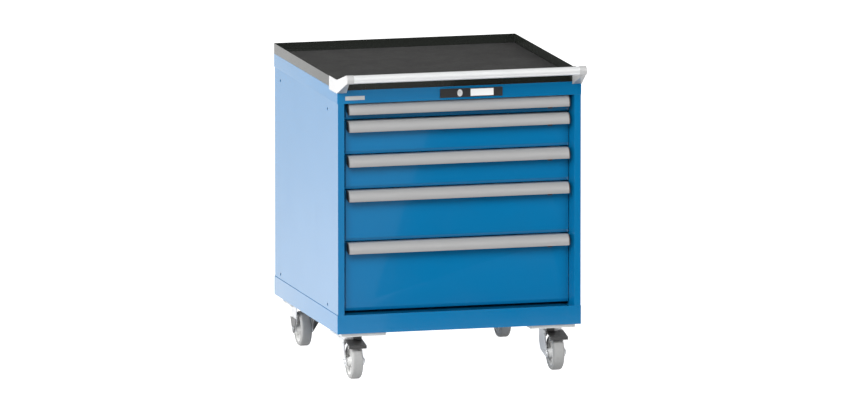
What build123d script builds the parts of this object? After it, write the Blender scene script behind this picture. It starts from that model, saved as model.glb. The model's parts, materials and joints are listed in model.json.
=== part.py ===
"""Mobile workbench: a five-drawer steel cabinet on castors, with a rimmed worktop and a push bar.

Frame: origin on the floor under the middle of the whole object, +X to the right seen from the
drawers' side, -Y to the front, +Z up.  Millimetres.
"""

import os

from build123d import *

os.makedirs("parts", exist_ok=True)

# ---------------------------------------------------------------- driving dimensions
# Cabinet body.
BODY_WIDTH = 717.0
BODY_DEPTH = 725.0
PLINTH_HEIGHT = 54.0
TOP_FRAME_HEIGHT = 38.0
DRAWER_PITCHES = (50.0, 100.0, 100.0, 150.0, 200.0)  # from the top drawer down
FLOOR_GAP = 8.0  # from the plinth to the lowest drawer front
SHEET = 1.5
HOUSING_INSET = 1.5  # side panels stand this far inside the plinth and the top frame
FRAME_CORNER_RADIUS = 2.0
FRAME_FLANGE = 16.0

# Side panels and their folded front posts.
POST_FACE = 20.0  # width of the post face, from the body's side
POST_REVEAL = 29.0  # the reveal ends this far from the body's side
POST_RETURN = 18.0
REAR_FLANGE = 20.0
BACK_RECESS = 6.0
BACK_FIELD_MARGIN = 40.0
BACK_FIELD_RISE = 3.0
BACK_FIELD_SLOPE = 45.0  # degrees
SIDE_HOLE_RADIUS = 4.5
SIDE_HOLE_FRONT = 119.0
SIDE_HOLE_REAR = 656.0
SIDE_HOLE_MARGIN = 14.5  # first hole above the plinth
SIDE_HOLE_TOP_MARGIN = 31.0

# Plinth underside.
PLINTH_SIDE_FLANGE = 20.0
PLINTH_END_FLANGE = 150.0

# Drawers.
DRAWER_BACK_SPACE = 74.0  # from the body's back to the drawer box
DRAWER_SIDE_SPACE = 51.0  # from the body's side to the drawer box
FRONT_RECESS = 27.0  # drawer face behind the body's front
FRONT_GAP = 3.0
FRONT_MARGIN = 30.5  # from the body's side to the drawer face
FRONT_FOLD = 9.0
FRONT_BEVEL_HEIGHT = 9.0
FRONT_BEVEL_DEPTH = 4.0
BOX_FLOOR_RISE = 4.0

# Handles.
HANDLE_HEIGHT = 32.0
HANDLE_WALL = 2.0
HANDLE_INSET = 2.0  # handle end inside the drawer face's end
HANDLE_CAP = 3.0
HANDLE_TOP_FLAT = 15.0
HANDLE_BACK_FLANGE = 13.0
HANDLE_BULGE_RISE = 11.0
HANDLE_BULGE_DEPTH = 3.0

# Drawer latches, behind the handles' right end.
LATCH_FROM_END = 57.0
LATCH_TAB_WIDTH = 13.5
LATCH_TAB_DROP = 3.5
LATCH_TAB_THICKNESS = 4.0
LATCH_TAB_SETBACK = 9.0
LATCH_TAB_TOP = 8.0
LATCH_SHANK_WIDTH = 10.0
LATCH_SHANK_HEIGHT = 5.0
LATCH_SHANK_DROP = 17.0
LATCH_KEEPER_WIDTH = 26.0
LATCH_KEEPER_HEIGHT = 12.0
LATCH_KEEPER_THICKNESS = 2.5
LATCH_TRAVEL = 6.0
LATCH_CLEARANCE = 1.0

# Telescopic slides.
RAIL_HEIGHT = 30.0
RAIL_RISE = 5.0  # rail above the drawer's lower edge
RAIL_FLANGE = 11.5
RAIL_GAP = 1.0
RAIL_START = 70.0
RAIL_END_SPACE = 40.0
MIDDLE_GAP = 2.0  # middle members behind the drawer front's folds
MIDDLE_CLEARANCE = 0.7
MIDDLE_WALL = 3.0
STANDOFF_LENGTH = 40.0
STANDOFF_HEIGHT = 18.0
STANDOFF_MARGIN = 100.0

# Lock.
LOCK_PLATE_LEFT = 57.5
LOCK_PLATE_RIGHT = 125.5
LOCK_PLATE_HEIGHT = 25.5
LOCK_PLATE_THICKNESS = 2.5
LOCK_PLATE_CORNER = 1.0
ESCUTCHEON_WIDTH = 15.0
ESCUTCHEON_HEIGHT = 20.6
ESCUTCHEON_PROUD = 2.0
KEY_CORE_RADIUS = 6.0
KEY_CORE_PROUD = 1.0
KEY_CORE_FIT = 0.05
KEY_HOLE_CLEARANCE = 1.0
KEY_SLOT_WIDTH = 1.6
KEY_SLOT_LENGTH = 7.5
KEY_SLOT_DEPTH = 6.0
LABEL_LEFT = 31.5
LABEL_WIDTH = 68.0
LABEL_HEIGHT = 21.0
LABEL_THICKNESS = 0.6
LABEL_PLAY = 0.6
LABEL_RECESS = 1.0
CAM_RADIUS = 9.5
CAM_THICKNESS = 3.0
CAM_DEPTH = 36.0
CAM_PIN_RADIUS = 2.0
CAM_PIN_LENGTH = 5.0
LOCK_THROW = 6.0
LOCK_ARM_GAP = 1.0
LOCK_ARM_THICKNESS = 3.0
LOCK_ARM_HEIGHT = 16.0
LOCK_ARM_OVERHANG = 14.0
LOCK_SLOT_PLAY = 0.2
LOCK_SLOT_RISE = 1.3  # the pin's path stands this far above the bar's steady lift
LOCK_BAR_FROM_SIDE = 22.0
LOCK_BAR_THICKNESS = 3.0
LOCK_BAR_FRONT = 38.0
LOCK_BAR_WIDTH = 20.0
HOOK_LENGTH = 21.5
HOOK_HEIGHT = 5.0
HOOK_DEPTH = 5.0
HOOK_CLEARANCE = 0.5
STUD_RADIUS = 2.5
STUD_LENGTH = 14.0
STUD_GAP = 2.5
GUIDE_THICKNESS = 2.0
GUIDE_BORDER = 4.0
GUIDE_CLEARANCE = 0.5
GUIDE_ABOVE_HOOK = 45.0
GUIDE_BELOW_TOP_DRAWER = 12.0

# Worktop.
TRAY_RIM = 30.0
TRAY_SHEET = 2.0
MAT_THICKNESS = 3.0
MAT_GAP = 1.5

# Push bar.
BAR_RADIUS = 12.0
BAR_REACH = 73.0  # axis in front of the body
BAR_RISE = 42.0  # axis above the body
SLEEVE_WALL = 1.0
SLEEVE_INSET = 7.0
SLEEVE_LENGTH = 20.0
SLEEVE_END = 4.0
SLEEVE_FIT = 0.05
BRACKET_PLATE = 3.0
BRACKET_LENGTH = 83.0
BRACKET_TAPER_START = 14.0
BRACKET_TAPER = 1.6
BRACKET_DROP = 7.0
BRACKET_RISE = 32.0
BRACKET_ROOT_WIDTH = 27.0
BRACKET_TIP_WIDTH = 8.0

# Castors.
WHEEL_RADIUS = 50.0
WHEEL_WIDTH = 32.0
TYRE_THICKNESS = 12.0
TYRE_EDGE_RADIUS = 7.0
RIM_WIDTH = 27.0
RIM_THICKNESS = 4.5
HUB_RADIUS = 13.0
HUB_WIDTH = 44.0
WEB_THICKNESS = 8.0
BOND_GAP = 0.05
CASTOR_HEADROOM = 28.0  # from the top of the wheel to the top of the castor
CASTOR_FROM_SIDE = 62.2
FRONT_AXLE_FROM_FRONT = 54.7
REAR_AXLE_FROM_FRONT = 636.0
SWIVEL_OFFSET = 38.3
CASTOR_PLATE_THICKNESS = 3.0
CASTOR_PLATE_WIDTH = 100.0
CASTOR_PLATE_DEPTH = 85.0
CASTOR_PLATE_CORNER = 3.0
BOLT_SPACING_X = 80.0
BOLT_SPACING_Y = 60.0
BOLT_RADIUS = 4.0
BOLT_FIT = 0.05
BOLT_HEAD_FLATS = 13.0
HEX_SIDES = 6
BOLT_HEAD_HEIGHT = 5.3
BOLT_LENGTH = 11.0
MOUNT_PLATE_THICKNESS = 10.0
MOUNT_PLATE_WIDTH = 131.0
MOUNT_PLATE_DEPTH = 125.0
MOUNT_PLATE_FROM_SIDE = 15.0
MOUNT_PLATE_FRONT = 10.0
FORK_WIDTH = 54.0
FORK_SHEET = 3.0
FORK_LENGTH = 66.0
FORK_TAIL = 39.0  # from the swivel axis to the back of the fork
FORK_DROP = 16.0  # fork's crown under the mount plate
FORK_CHEEK_BACK = 40.0  # height of the fork's back edge
FORK_CHEEK_SLOPE = 18.0  # how far that edge's foot lies behind the cheek's lower corner
FORK_CHEEK_FRONT = 39.0  # foot of the fork's front edge above the axle
BOSS_RADIUS = 13.0
RACE_RADIUS = 28.0
RACE_GAP = 0.3
KINGPIN_RADIUS = 6.0
KINGPIN_HEAD_RADIUS = 10.0
KINGPIN_HEAD_HEIGHT = 4.0
KINGPIN_FIT = 0.05
AXLE_RADIUS = 4.0
AXLE_FIT = 0.05
AXLE_HEAD_HEIGHT = 4.5
PEDAL_WIDTH = 52.0
PEDAL_LENGTH = 52.0
PEDAL_BACK = 6.0  # pedal's back edge behind the axle
PEDAL_SLOPE = 10.5
PEDAL_SHEET = 2.5
PEDAL_LIP = 9.0
PEDAL_PIVOT_BACK = 19.3  # pivot behind the axle
PEDAL_PIVOT_DROP = 11.0  # pivot below the crown's top
PEDAL_PIN_RADIUS = 3.0
PEDAL_EAR_RADIUS = 6.0
PEDAL_EAR_INSET = 4.5  # ear's outer face inside the fork's outer face
PEDAL_TONGUE_WIDTH = 24.0
PEDAL_TONGUE_HEIGHT = 11.0
LEG_WIDTH = 50.0
CHEEK_SHEET = 2.0
CHEEK_DROP = 57.0  # top of the dark cheeks below the plinth
CHEEK_REAR = 35.0
CHEEK_FRONT = 31.0
INNER_CHEEK_FRONT = 78.0

# ---------------------------------------------------------------- derived places
SLEEVE_RADIUS = BAR_RADIUS + SLEEVE_WALL
CASTOR_HEIGHT = 2 * WHEEL_RADIUS + CASTOR_HEADROOM
BODY_BASE = CASTOR_HEIGHT + MOUNT_PLATE_THICKNESS
HOUSING_BASE = BODY_BASE + PLINTH_HEIGHT
HOUSING_HEIGHT = FLOOR_GAP + sum(DRAWER_PITCHES)
HOUSING_TOP = HOUSING_BASE + HOUSING_HEIGHT
BODY_TOP = HOUSING_TOP + TOP_FRAME_HEIGHT
FRONT = (BAR_REACH + SLEEVE_RADIUS - BODY_DEPTH) / 2
BACK = FRONT + BODY_DEPTH
MIDDLE_Y = (FRONT + BACK) / 2
SIDE = BODY_WIDTH / 2

FACE_Y = FRONT + FRONT_RECESS
BOX_FRONT = FACE_Y + FRONT_FOLD
BOX_BACK = BACK - DRAWER_BACK_SPACE
DRAWER_LENGTH = BOX_BACK - BOX_FRONT - 2 * SHEET  # inside, front to back
BOX_SIDE = SIDE - DRAWER_SIDE_SPACE
FACE_SIDE = SIDE - FRONT_MARGIN
HANDLE_SIDE = FACE_SIDE - HANDLE_INSET - HANDLE_CAP
LATCH_X = FACE_SIDE - HANDLE_INSET - LATCH_FROM_END
DRAWER_BOTTOMS = [HOUSING_TOP - sum(DRAWER_PITCHES[: i + 1]) for i in range(len(DRAWER_PITCHES))]
DRAWERS = list(enumerate(zip(DRAWER_BOTTOMS, DRAWER_PITCHES), start=1))

RAIL_INNER = RAIL_HEIGHT - 2 * SHEET
DRAWER_RAIL_TIP = BOX_SIDE + RAIL_FLANGE
CABINET_RAIL_TIP = DRAWER_RAIL_TIP + RAIL_GAP
CABINET_RAIL_WEB = CABINET_RAIL_TIP + RAIL_FLANGE - 2 * SHEET
RAIL_BACK = BACK - RAIL_END_SPACE
MIDDLE_X = (BOX_SIDE + SHEET + CABINET_RAIL_WEB) / 2
MIDDLE_WIDTH = CABINET_RAIL_WEB - BOX_SIDE - SHEET - 2 * MIDDLE_CLEARANCE
MIDDLE_HEIGHT = RAIL_INNER - 2 * MIDDLE_CLEARANCE
MIDDLE_FRONT = BOX_FRONT + MIDDLE_GAP

LOCK_Z = HOUSING_TOP + TOP_FRAME_HEIGHT / 2
LOCK_BAR_X = SIDE - LOCK_BAR_FROM_SIDE - LOCK_BAR_THICKNESS
HOOK_RISE = RAIL_RISE + RAIL_HEIGHT + HOOK_CLEARANCE
STUD_RISE = HOOK_RISE + LOCK_THROW + HOOK_HEIGHT / 2
HOOK_BACK = FRONT + LOCK_BAR_FRONT + LOCK_BAR_WIDTH
STUD_Y = HOOK_BACK + STUD_GAP + STUD_RADIUS
ARM_FRONT = FRONT + CAM_DEPTH + CAM_THICKNESS + LOCK_ARM_GAP

BAR_Y = FRONT - BAR_REACH
BAR_Z = BODY_TOP + BAR_RISE
SLEEVE_OUTER = SIDE - SLEEVE_INSET
SLEEVE_INNER = SLEEVE_OUTER - SLEEVE_LENGTH

CASTOR_X = SIDE - CASTOR_FROM_SIDE
FRONT_AXLE_Y = FRONT + FRONT_AXLE_FROM_FRONT
SWIVEL_Y = FRONT_AXLE_Y + SWIVEL_OFFSET
REAR_AXLE_Y = FRONT + REAR_AXLE_FROM_FRONT
CASTOR_PLATE_BASE = CASTOR_HEIGHT - CASTOR_PLATE_THICKNESS
CROWN_TOP = CASTOR_HEIGHT - FORK_DROP
RIM_RADIUS = WHEEL_RADIUS - TYRE_THICKNESS
PIVOT_Y = FRONT_AXLE_Y + PEDAL_PIVOT_BACK
PIVOT_Z = CROWN_TOP - PEDAL_PIVOT_DROP
MOUNT_PLATE_X = SIDE - MOUNT_PLATE_FROM_SIDE - MOUNT_PLATE_WIDTH / 2
MOUNT_PLATE_FRONT_Y = FRONT + MOUNT_PLATE_FRONT + MOUNT_PLATE_DEPTH / 2
SIDES = (("left", -1), ("right", 1))
CASTOR_PLATE_CENTRES = [(side * CASTOR_X, y) for _, side in SIDES for y in (SWIVEL_Y, REAR_AXLE_Y)]


# ---------------------------------------------------------------- housing
# Plinth: a folded steel base, open in the middle of its underside.
with BuildPart() as base_plinth:
    with BuildSketch(Plane.XY.offset(BODY_BASE)):
        with Locations((0, MIDDLE_Y)):
            RectangleRounded(BODY_WIDTH, BODY_DEPTH, FRAME_CORNER_RADIUS)
    extrude(amount=PLINTH_HEIGHT)
    with BuildSketch(Plane.XY.offset(BODY_BASE + SHEET)):
        with Locations((0, MIDDLE_Y)):
            Rectangle(BODY_WIDTH - 2 * SHEET, BODY_DEPTH - 2 * SHEET)
    extrude(amount=PLINTH_HEIGHT - 2 * SHEET, mode=Mode.SUBTRACT)
    with BuildSketch(Plane.XY.offset(BODY_BASE)):
        with Locations((0, MIDDLE_Y)):
            Rectangle(BODY_WIDTH - 2 * PLINTH_SIDE_FLANGE, BODY_DEPTH - 2 * PLINTH_END_FLANGE)
    extrude(amount=SHEET, mode=Mode.SUBTRACT)
base_plinth.part.label = "base_plinth"
export_step(base_plinth.part, "parts/base_plinth.step")

# Side panels: one sheet each, folded into the front post and the rear flange.
SIDE_HOLES = [
    (FRONT + y, z)
    for y in (SIDE_HOLE_FRONT, SIDE_HOLE_REAR)
    for z in (HOUSING_BASE + SIDE_HOLE_MARGIN, HOUSING_TOP - SIDE_HOLE_TOP_MARGIN)
]
for side_name, side in SIDES:
    outer = side * (SIDE - HOUSING_INSET)
    with BuildPart() as side_panel:
        with BuildSketch(Plane.XY.offset(HOUSING_BASE)):
            with BuildLine():
                Polyline(
                    (side * (SIDE - REAR_FLANGE), BACK - BACK_RECESS),
                    (outer, BACK - BACK_RECESS),
                    (outer, FRONT),
                    (side * (SIDE - POST_FACE), FRONT),
                    (side * (SIDE - POST_REVEAL), FACE_Y),
                    (side * (SIDE - POST_REVEAL), FACE_Y + POST_RETURN),
                )
                offset(amount=SHEET, side=Side.LEFT if side < 0 else Side.RIGHT)
            make_face()
        extrude(amount=HOUSING_HEIGHT)
        with BuildSketch(Plane.YZ.offset(outer)):
            with Locations(*SIDE_HOLES):
                Circle(SIDE_HOLE_RADIUS)
        extrude(amount=-side * SHEET, mode=Mode.SUBTRACT)
    side_panel.part.label = f"side_panel_{side_name}"
    export_step(side_panel.part, f"parts/side_panel_{side_name}.step")

# Back panel: a flat sheet with a pressed-out field.
BACK_FIELD_WIDTH = BODY_WIDTH - 2 * HOUSING_INSET - 2 * BACK_FIELD_MARGIN
BACK_FIELD_HEIGHT = HOUSING_HEIGHT - 2 * BACK_FIELD_MARGIN
BACK_SHEET_Y = BACK - BACK_RECESS
HOUSING_MIDDLE_Z = HOUSING_BASE + HOUSING_HEIGHT / 2
BACK_PLANE = Plane((0, BACK_SHEET_Y, HOUSING_MIDDLE_Z), x_dir=(-1, 0, 0), z_dir=(0, 1, 0))
with BuildPart() as back_panel:
    with BuildSketch(BACK_PLANE):
        Rectangle(BODY_WIDTH - 2 * HOUSING_INSET, HOUSING_HEIGHT)
    extrude(amount=SHEET)
    with BuildSketch(BACK_PLANE.offset(SHEET)):
        Rectangle(BACK_FIELD_WIDTH, BACK_FIELD_HEIGHT)
    extrude(amount=BACK_FIELD_RISE, taper=BACK_FIELD_SLOPE)
    with BuildSketch(BACK_PLANE):
        Rectangle(BACK_FIELD_WIDTH - SHEET, BACK_FIELD_HEIGHT - SHEET)
    extrude(amount=BACK_FIELD_RISE, taper=BACK_FIELD_SLOPE, mode=Mode.SUBTRACT)
back_panel.part.label = "back_panel"
export_step(back_panel.part, "parts/back_panel.step")

# Top frame: a folded cap with a front band for the lock.
with BuildPart() as top_frame:
    with BuildSketch(Plane.XY.offset(HOUSING_TOP)):
        with Locations((0, MIDDLE_Y)):
            RectangleRounded(BODY_WIDTH, BODY_DEPTH, FRAME_CORNER_RADIUS)
    extrude(amount=TOP_FRAME_HEIGHT)
    with BuildSketch(Plane.XY.offset(HOUSING_TOP + SHEET)):
        with Locations((0, MIDDLE_Y)):
            Rectangle(BODY_WIDTH - 2 * SHEET, BODY_DEPTH - 2 * SHEET)
    extrude(amount=TOP_FRAME_HEIGHT - 2 * SHEET, mode=Mode.SUBTRACT)
    with BuildSketch(Plane.XY.offset(HOUSING_TOP)):
        with Locations((0, MIDDLE_Y)):
            Rectangle(BODY_WIDTH - 2 * FRAME_FLANGE, BODY_DEPTH - 2 * FRAME_FLANGE)
    extrude(amount=SHEET, mode=Mode.SUBTRACT)
    with BuildSketch(Plane((0, FRONT, LOCK_Z), x_dir=(1, 0, 0), z_dir=(0, -1, 0))):
        Circle(KEY_CORE_RADIUS + KEY_HOLE_CLEARANCE)
    extrude(amount=-SHEET, mode=Mode.SUBTRACT)
top_frame.part.label = "top_frame"
export_step(top_frame.part, "parts/top_frame.step")

# Cabinet members of the slides: a channel on each side of every drawer, on two standoffs.
SKIN_INNER = SIDE - HOUSING_INSET - SHEET
STANDOFF_CENTRES = (
    FRONT + RAIL_START + STANDOFF_MARGIN,
    RAIL_BACK - STANDOFF_MARGIN,
)
with BuildPart() as cabinet_runners:
    for _, (bottom, _) in DRAWERS:
        rail_middle = bottom + RAIL_RISE + RAIL_HEIGHT / 2
        for _, side in SIDES:
            with BuildSketch(Plane.XZ.offset(-(FRONT + RAIL_START))):
                with Locations((side * (CABINET_RAIL_TIP + CABINET_RAIL_WEB + SHEET) / 2, rail_middle)):
                    Rectangle(CABINET_RAIL_WEB + SHEET - CABINET_RAIL_TIP, RAIL_HEIGHT)
                with Locations((side * (CABINET_RAIL_TIP + CABINET_RAIL_WEB) / 2, rail_middle)):
                    Rectangle(CABINET_RAIL_WEB - CABINET_RAIL_TIP, RAIL_INNER, mode=Mode.SUBTRACT)
            extrude(amount=-(RAIL_BACK - FRONT - RAIL_START))
            with BuildSketch(Plane.YZ.offset(side * (CABINET_RAIL_WEB + SHEET))):
                for y in STANDOFF_CENTRES:
                    with Locations((y, rail_middle)):
                        Rectangle(STANDOFF_LENGTH, STANDOFF_HEIGHT)
            extrude(amount=side * (SKIN_INNER - CABINET_RAIL_WEB - SHEET))
cabinet_runners.part.label = "cabinet_runners"
export_step(cabinet_runners.part, "parts/cabinet_runners.step")

# ---------------------------------------------------------------- worktop
with BuildPart() as worktop_tray:
    with BuildSketch(Plane.XY.offset(BODY_TOP)):
        with Locations((0, MIDDLE_Y)):
            RectangleRounded(BODY_WIDTH, BODY_DEPTH, FRAME_CORNER_RADIUS)
    extrude(amount=TRAY_RIM)
    with BuildSketch(Plane.XY.offset(BODY_TOP + TRAY_SHEET)):
        with Locations((0, MIDDLE_Y)):
            Rectangle(BODY_WIDTH - 2 * TRAY_SHEET, BODY_DEPTH - 2 * TRAY_SHEET)
    extrude(amount=TRAY_RIM - TRAY_SHEET, mode=Mode.SUBTRACT)
worktop_tray.part.label = "worktop_tray"
export_step(worktop_tray.part, "parts/worktop_tray.step")

MAT_MARGIN = TRAY_SHEET + MAT_GAP
with BuildPart() as ribbed_mat:
    with BuildSketch(Plane.XY.offset(BODY_TOP + TRAY_SHEET)):
        with Locations((0, MIDDLE_Y)):
            Rectangle(BODY_WIDTH - 2 * MAT_MARGIN, BODY_DEPTH - 2 * MAT_MARGIN)
    extrude(amount=MAT_THICKNESS)
ribbed_mat.part.label = "ribbed_mat"
export_step(ribbed_mat.part, "parts/ribbed_mat.step")

# ---------------------------------------------------------------- push bar
BAR_END = SLEEVE_OUTER - SLEEVE_END
with BuildPart() as push_bar:
    with BuildSketch(Plane((0, BAR_Y, BAR_Z), x_dir=(0, 1, 0), z_dir=(1, 0, 0))):
        Circle(BAR_RADIUS)
        Circle(BAR_RADIUS - SHEET, mode=Mode.SUBTRACT)
    extrude(amount=BAR_END, both=True)
push_bar.part.label = "push_bar"
export_step(push_bar.part, "parts/push_bar.step")

# Corner brackets: a plate round the side, an arm that tapers forwards, and the bar's sleeve.
ARM_OUTER = SIDE + BRACKET_PLATE - BRACKET_TAPER
ARM_INNER = SIDE - BRACKET_ROOT_WIDTH
ARM_MIDDLE_Z = BODY_TOP + (BRACKET_RISE - BRACKET_DROP) / 2
with BuildPart() as bar_brackets:
    for _, side in SIDES:
        with BuildSketch(Plane.XY.offset(BODY_TOP - BRACKET_DROP)):
            with BuildLine():
                Polyline(
                    (side * SIDE, FRONT + BRACKET_LENGTH),
                    (side * (SIDE + BRACKET_PLATE), FRONT + BRACKET_LENGTH),
                    (side * (SIDE + BRACKET_PLATE), FRONT + BRACKET_TAPER_START),
                    (side * ARM_OUTER, FRONT),
                    (side * SIDE, FRONT),
                    close=True,
                )
            make_face()
        extrude(amount=BRACKET_DROP + BRACKET_RISE)
        with BuildSketch(Plane.XZ.offset(-FRONT)):
            with Locations((side * (ARM_OUTER + ARM_INNER) / 2, ARM_MIDDLE_Z)):
                Rectangle(ARM_OUTER - ARM_INNER, BRACKET_RISE + BRACKET_DROP)
        with BuildSketch(Plane.XZ.offset(-BAR_Y)):
            with Locations((side * (SLEEVE_OUTER - BRACKET_TIP_WIDTH / 2), BAR_Z)):
                Rectangle(BRACKET_TIP_WIDTH, 2 * SLEEVE_RADIUS)
        loft(ruled=True)
        sleeve_plane = Plane((side * SLEEVE_INNER, BAR_Y, BAR_Z), x_dir=(0, 1, 0), z_dir=(side, 0, 0))
        with BuildSketch(sleeve_plane):
            Circle(SLEEVE_RADIUS)
        extrude(amount=SLEEVE_LENGTH)
        with BuildSketch(sleeve_plane):
            Circle(BAR_RADIUS + SLEEVE_FIT)
        extrude(amount=SLEEVE_LENGTH - SLEEVE_END, mode=Mode.SUBTRACT)
bar_brackets.part.label = "bar_brackets"
export_step(bar_brackets.part, "parts/bar_brackets.step")

# ---------------------------------------------------------------- lock
LOCK_PLATE_X = (LOCK_PLATE_RIGHT - LOCK_PLATE_LEFT) / 2
LABEL_X = LABEL_LEFT + LABEL_WIDTH / 2
LOCK_FACE = Plane((0, FRONT, LOCK_Z), x_dir=(1, 0, 0), z_dir=(0, -1, 0))
with BuildPart() as lock_plate:
    with BuildSketch(LOCK_FACE):
        with Locations((LOCK_PLATE_X, 0)):
            RectangleRounded(LOCK_PLATE_LEFT + LOCK_PLATE_RIGHT, LOCK_PLATE_HEIGHT, LOCK_PLATE_CORNER)
    extrude(amount=LOCK_PLATE_THICKNESS)
    with BuildSketch(LOCK_FACE.offset(LOCK_PLATE_THICKNESS)):
        Ellipse(ESCUTCHEON_WIDTH / 2, ESCUTCHEON_HEIGHT / 2)
    extrude(amount=ESCUTCHEON_PROUD)
    with BuildSketch(LOCK_FACE.offset(LOCK_PLATE_THICKNESS)):
        with Locations((LABEL_X, 0)):
            Rectangle(LABEL_WIDTH, LABEL_HEIGHT)
    extrude(amount=-LABEL_RECESS, mode=Mode.SUBTRACT)
    with BuildSketch(LOCK_FACE):
        Circle(KEY_CORE_RADIUS + KEY_CORE_FIT)
    extrude(amount=LOCK_PLATE_THICKNESS + ESCUTCHEON_PROUD, mode=Mode.SUBTRACT)
lock_plate.part.label = "lock_plate"
export_step(lock_plate.part, "parts/lock_plate.step")

with BuildPart() as label_card:
    with BuildSketch(LOCK_FACE.offset(LOCK_PLATE_THICKNESS - LABEL_RECESS)):
        with Locations((LABEL_X, 0)):
            Rectangle(LABEL_WIDTH - LABEL_PLAY, LABEL_HEIGHT - LABEL_PLAY)
    extrude(amount=LABEL_THICKNESS)
label_card.part.label = "label_card"
export_step(label_card.part, "parts/label_card.step")

# Lock cylinder: the key core, its cam behind the band, and the cam's pin.
CORE_FRONT = LOCK_PLATE_THICKNESS + ESCUTCHEON_PROUD + KEY_CORE_PROUD
with BuildPart() as lock_cylinder:
    with BuildSketch(LOCK_FACE.offset(CORE_FRONT)):
        Circle(KEY_CORE_RADIUS)
    extrude(amount=-(CORE_FRONT + CAM_DEPTH + CAM_THICKNESS))
    with BuildSketch(LOCK_FACE.offset(-CAM_DEPTH)):
        Circle(CAM_RADIUS)
    extrude(amount=-CAM_THICKNESS)
    with BuildSketch(LOCK_FACE.offset(-CAM_DEPTH - CAM_THICKNESS)):
        with Locations((-LOCK_THROW, 0)):
            Circle(CAM_PIN_RADIUS)
    extrude(amount=-CAM_PIN_LENGTH)
    with BuildSketch(LOCK_FACE.offset(CORE_FRONT)):
        Rectangle(KEY_SLOT_WIDTH, KEY_SLOT_LENGTH)
    extrude(amount=-KEY_SLOT_DEPTH, mode=Mode.SUBTRACT)
lock_cylinder.part.label = "lock_cylinder"
export_step(lock_cylinder.part, "parts/lock_cylinder.step")

# Lock bar: an upright strip with a hook for every drawer, and an arm that the cam lifts.
BAR_FOOT = DRAWER_BOTTOMS[-1]
ARM_TOP = LOCK_Z + LOCK_ARM_HEIGHT / 2
SLOT_BOTTOM = -CAM_PIN_RADIUS - LOCK_SLOT_PLAY
SLOT_TOP = CAM_PIN_RADIUS + LOCK_SLOT_PLAY + LOCK_SLOT_RISE
SLOT_REACH = CAM_PIN_RADIUS + LOCK_SLOT_PLAY
with BuildPart() as lock_bar:
    with BuildSketch(Plane.XY.offset(BAR_FOOT)):
        with Locations((LOCK_BAR_X + LOCK_BAR_THICKNESS / 2, HOOK_BACK - LOCK_BAR_WIDTH / 2)):
            Rectangle(LOCK_BAR_THICKNESS, LOCK_BAR_WIDTH)
    extrude(amount=ARM_TOP - BAR_FOOT)
    with BuildSketch(Plane.XZ.offset(-ARM_FRONT)):
        with Locations(((LOCK_BAR_X + LOCK_BAR_THICKNESS - LOCK_ARM_OVERHANG) / 2, LOCK_Z)):
            Rectangle(LOCK_BAR_X + LOCK_BAR_THICKNESS + LOCK_ARM_OVERHANG, LOCK_ARM_HEIGHT)
        with Locations((-LOCK_THROW / 2, LOCK_Z + (SLOT_TOP + SLOT_BOTTOM) / 2)):
            Rectangle(LOCK_THROW + 2 * SLOT_REACH, SLOT_TOP - SLOT_BOTTOM, mode=Mode.SUBTRACT)
    extrude(amount=-LOCK_ARM_THICKNESS)
    with BuildSketch(Plane.YZ.offset(LOCK_BAR_X)):
        for bottom in DRAWER_BOTTOMS:
            with Locations((HOOK_BACK - HOOK_DEPTH / 2, bottom + HOOK_RISE + HOOK_HEIGHT / 2)):
                Rectangle(HOOK_DEPTH, HOOK_HEIGHT)
    extrude(amount=-HOOK_LENGTH)
lock_bar.part.label = "lock_bar"
export_step(lock_bar.part, "parts/lock_bar.step")

# Guides: slotted plates on the right side panel that the lock bar slides in.
GUIDE_HEIGHTS = (
    BAR_FOOT + HOOK_RISE + GUIDE_ABOVE_HOOK,
    DRAWER_BOTTOMS[0] - GUIDE_BELOW_TOP_DRAWER,
)
GUIDE_INNER = SIDE - POST_REVEAL + SHEET + GUIDE_CLEARANCE
GUIDE_CENTRE_Y = HOOK_BACK - LOCK_BAR_WIDTH / 2
with BuildPart() as lock_bar_guides:
    for height in GUIDE_HEIGHTS:
        with BuildSketch(Plane.XY.offset(height)):
            with Locations(((GUIDE_INNER + SKIN_INNER) / 2, GUIDE_CENTRE_Y)):
                Rectangle(SKIN_INNER - GUIDE_INNER, LOCK_BAR_WIDTH + 2 * GUIDE_BORDER)
            with Locations((LOCK_BAR_X + LOCK_BAR_THICKNESS / 2, GUIDE_CENTRE_Y)):
                Rectangle(
                    LOCK_BAR_THICKNESS + 2 * GUIDE_CLEARANCE,
                    LOCK_BAR_WIDTH + 2 * GUIDE_CLEARANCE,
                    mode=Mode.SUBTRACT,
                )
        extrude(amount=GUIDE_THICKNESS)
lock_bar_guides.part.label = "lock_bar_guides"
export_step(lock_bar_guides.part, "parts/lock_bar_guides.step")

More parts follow.
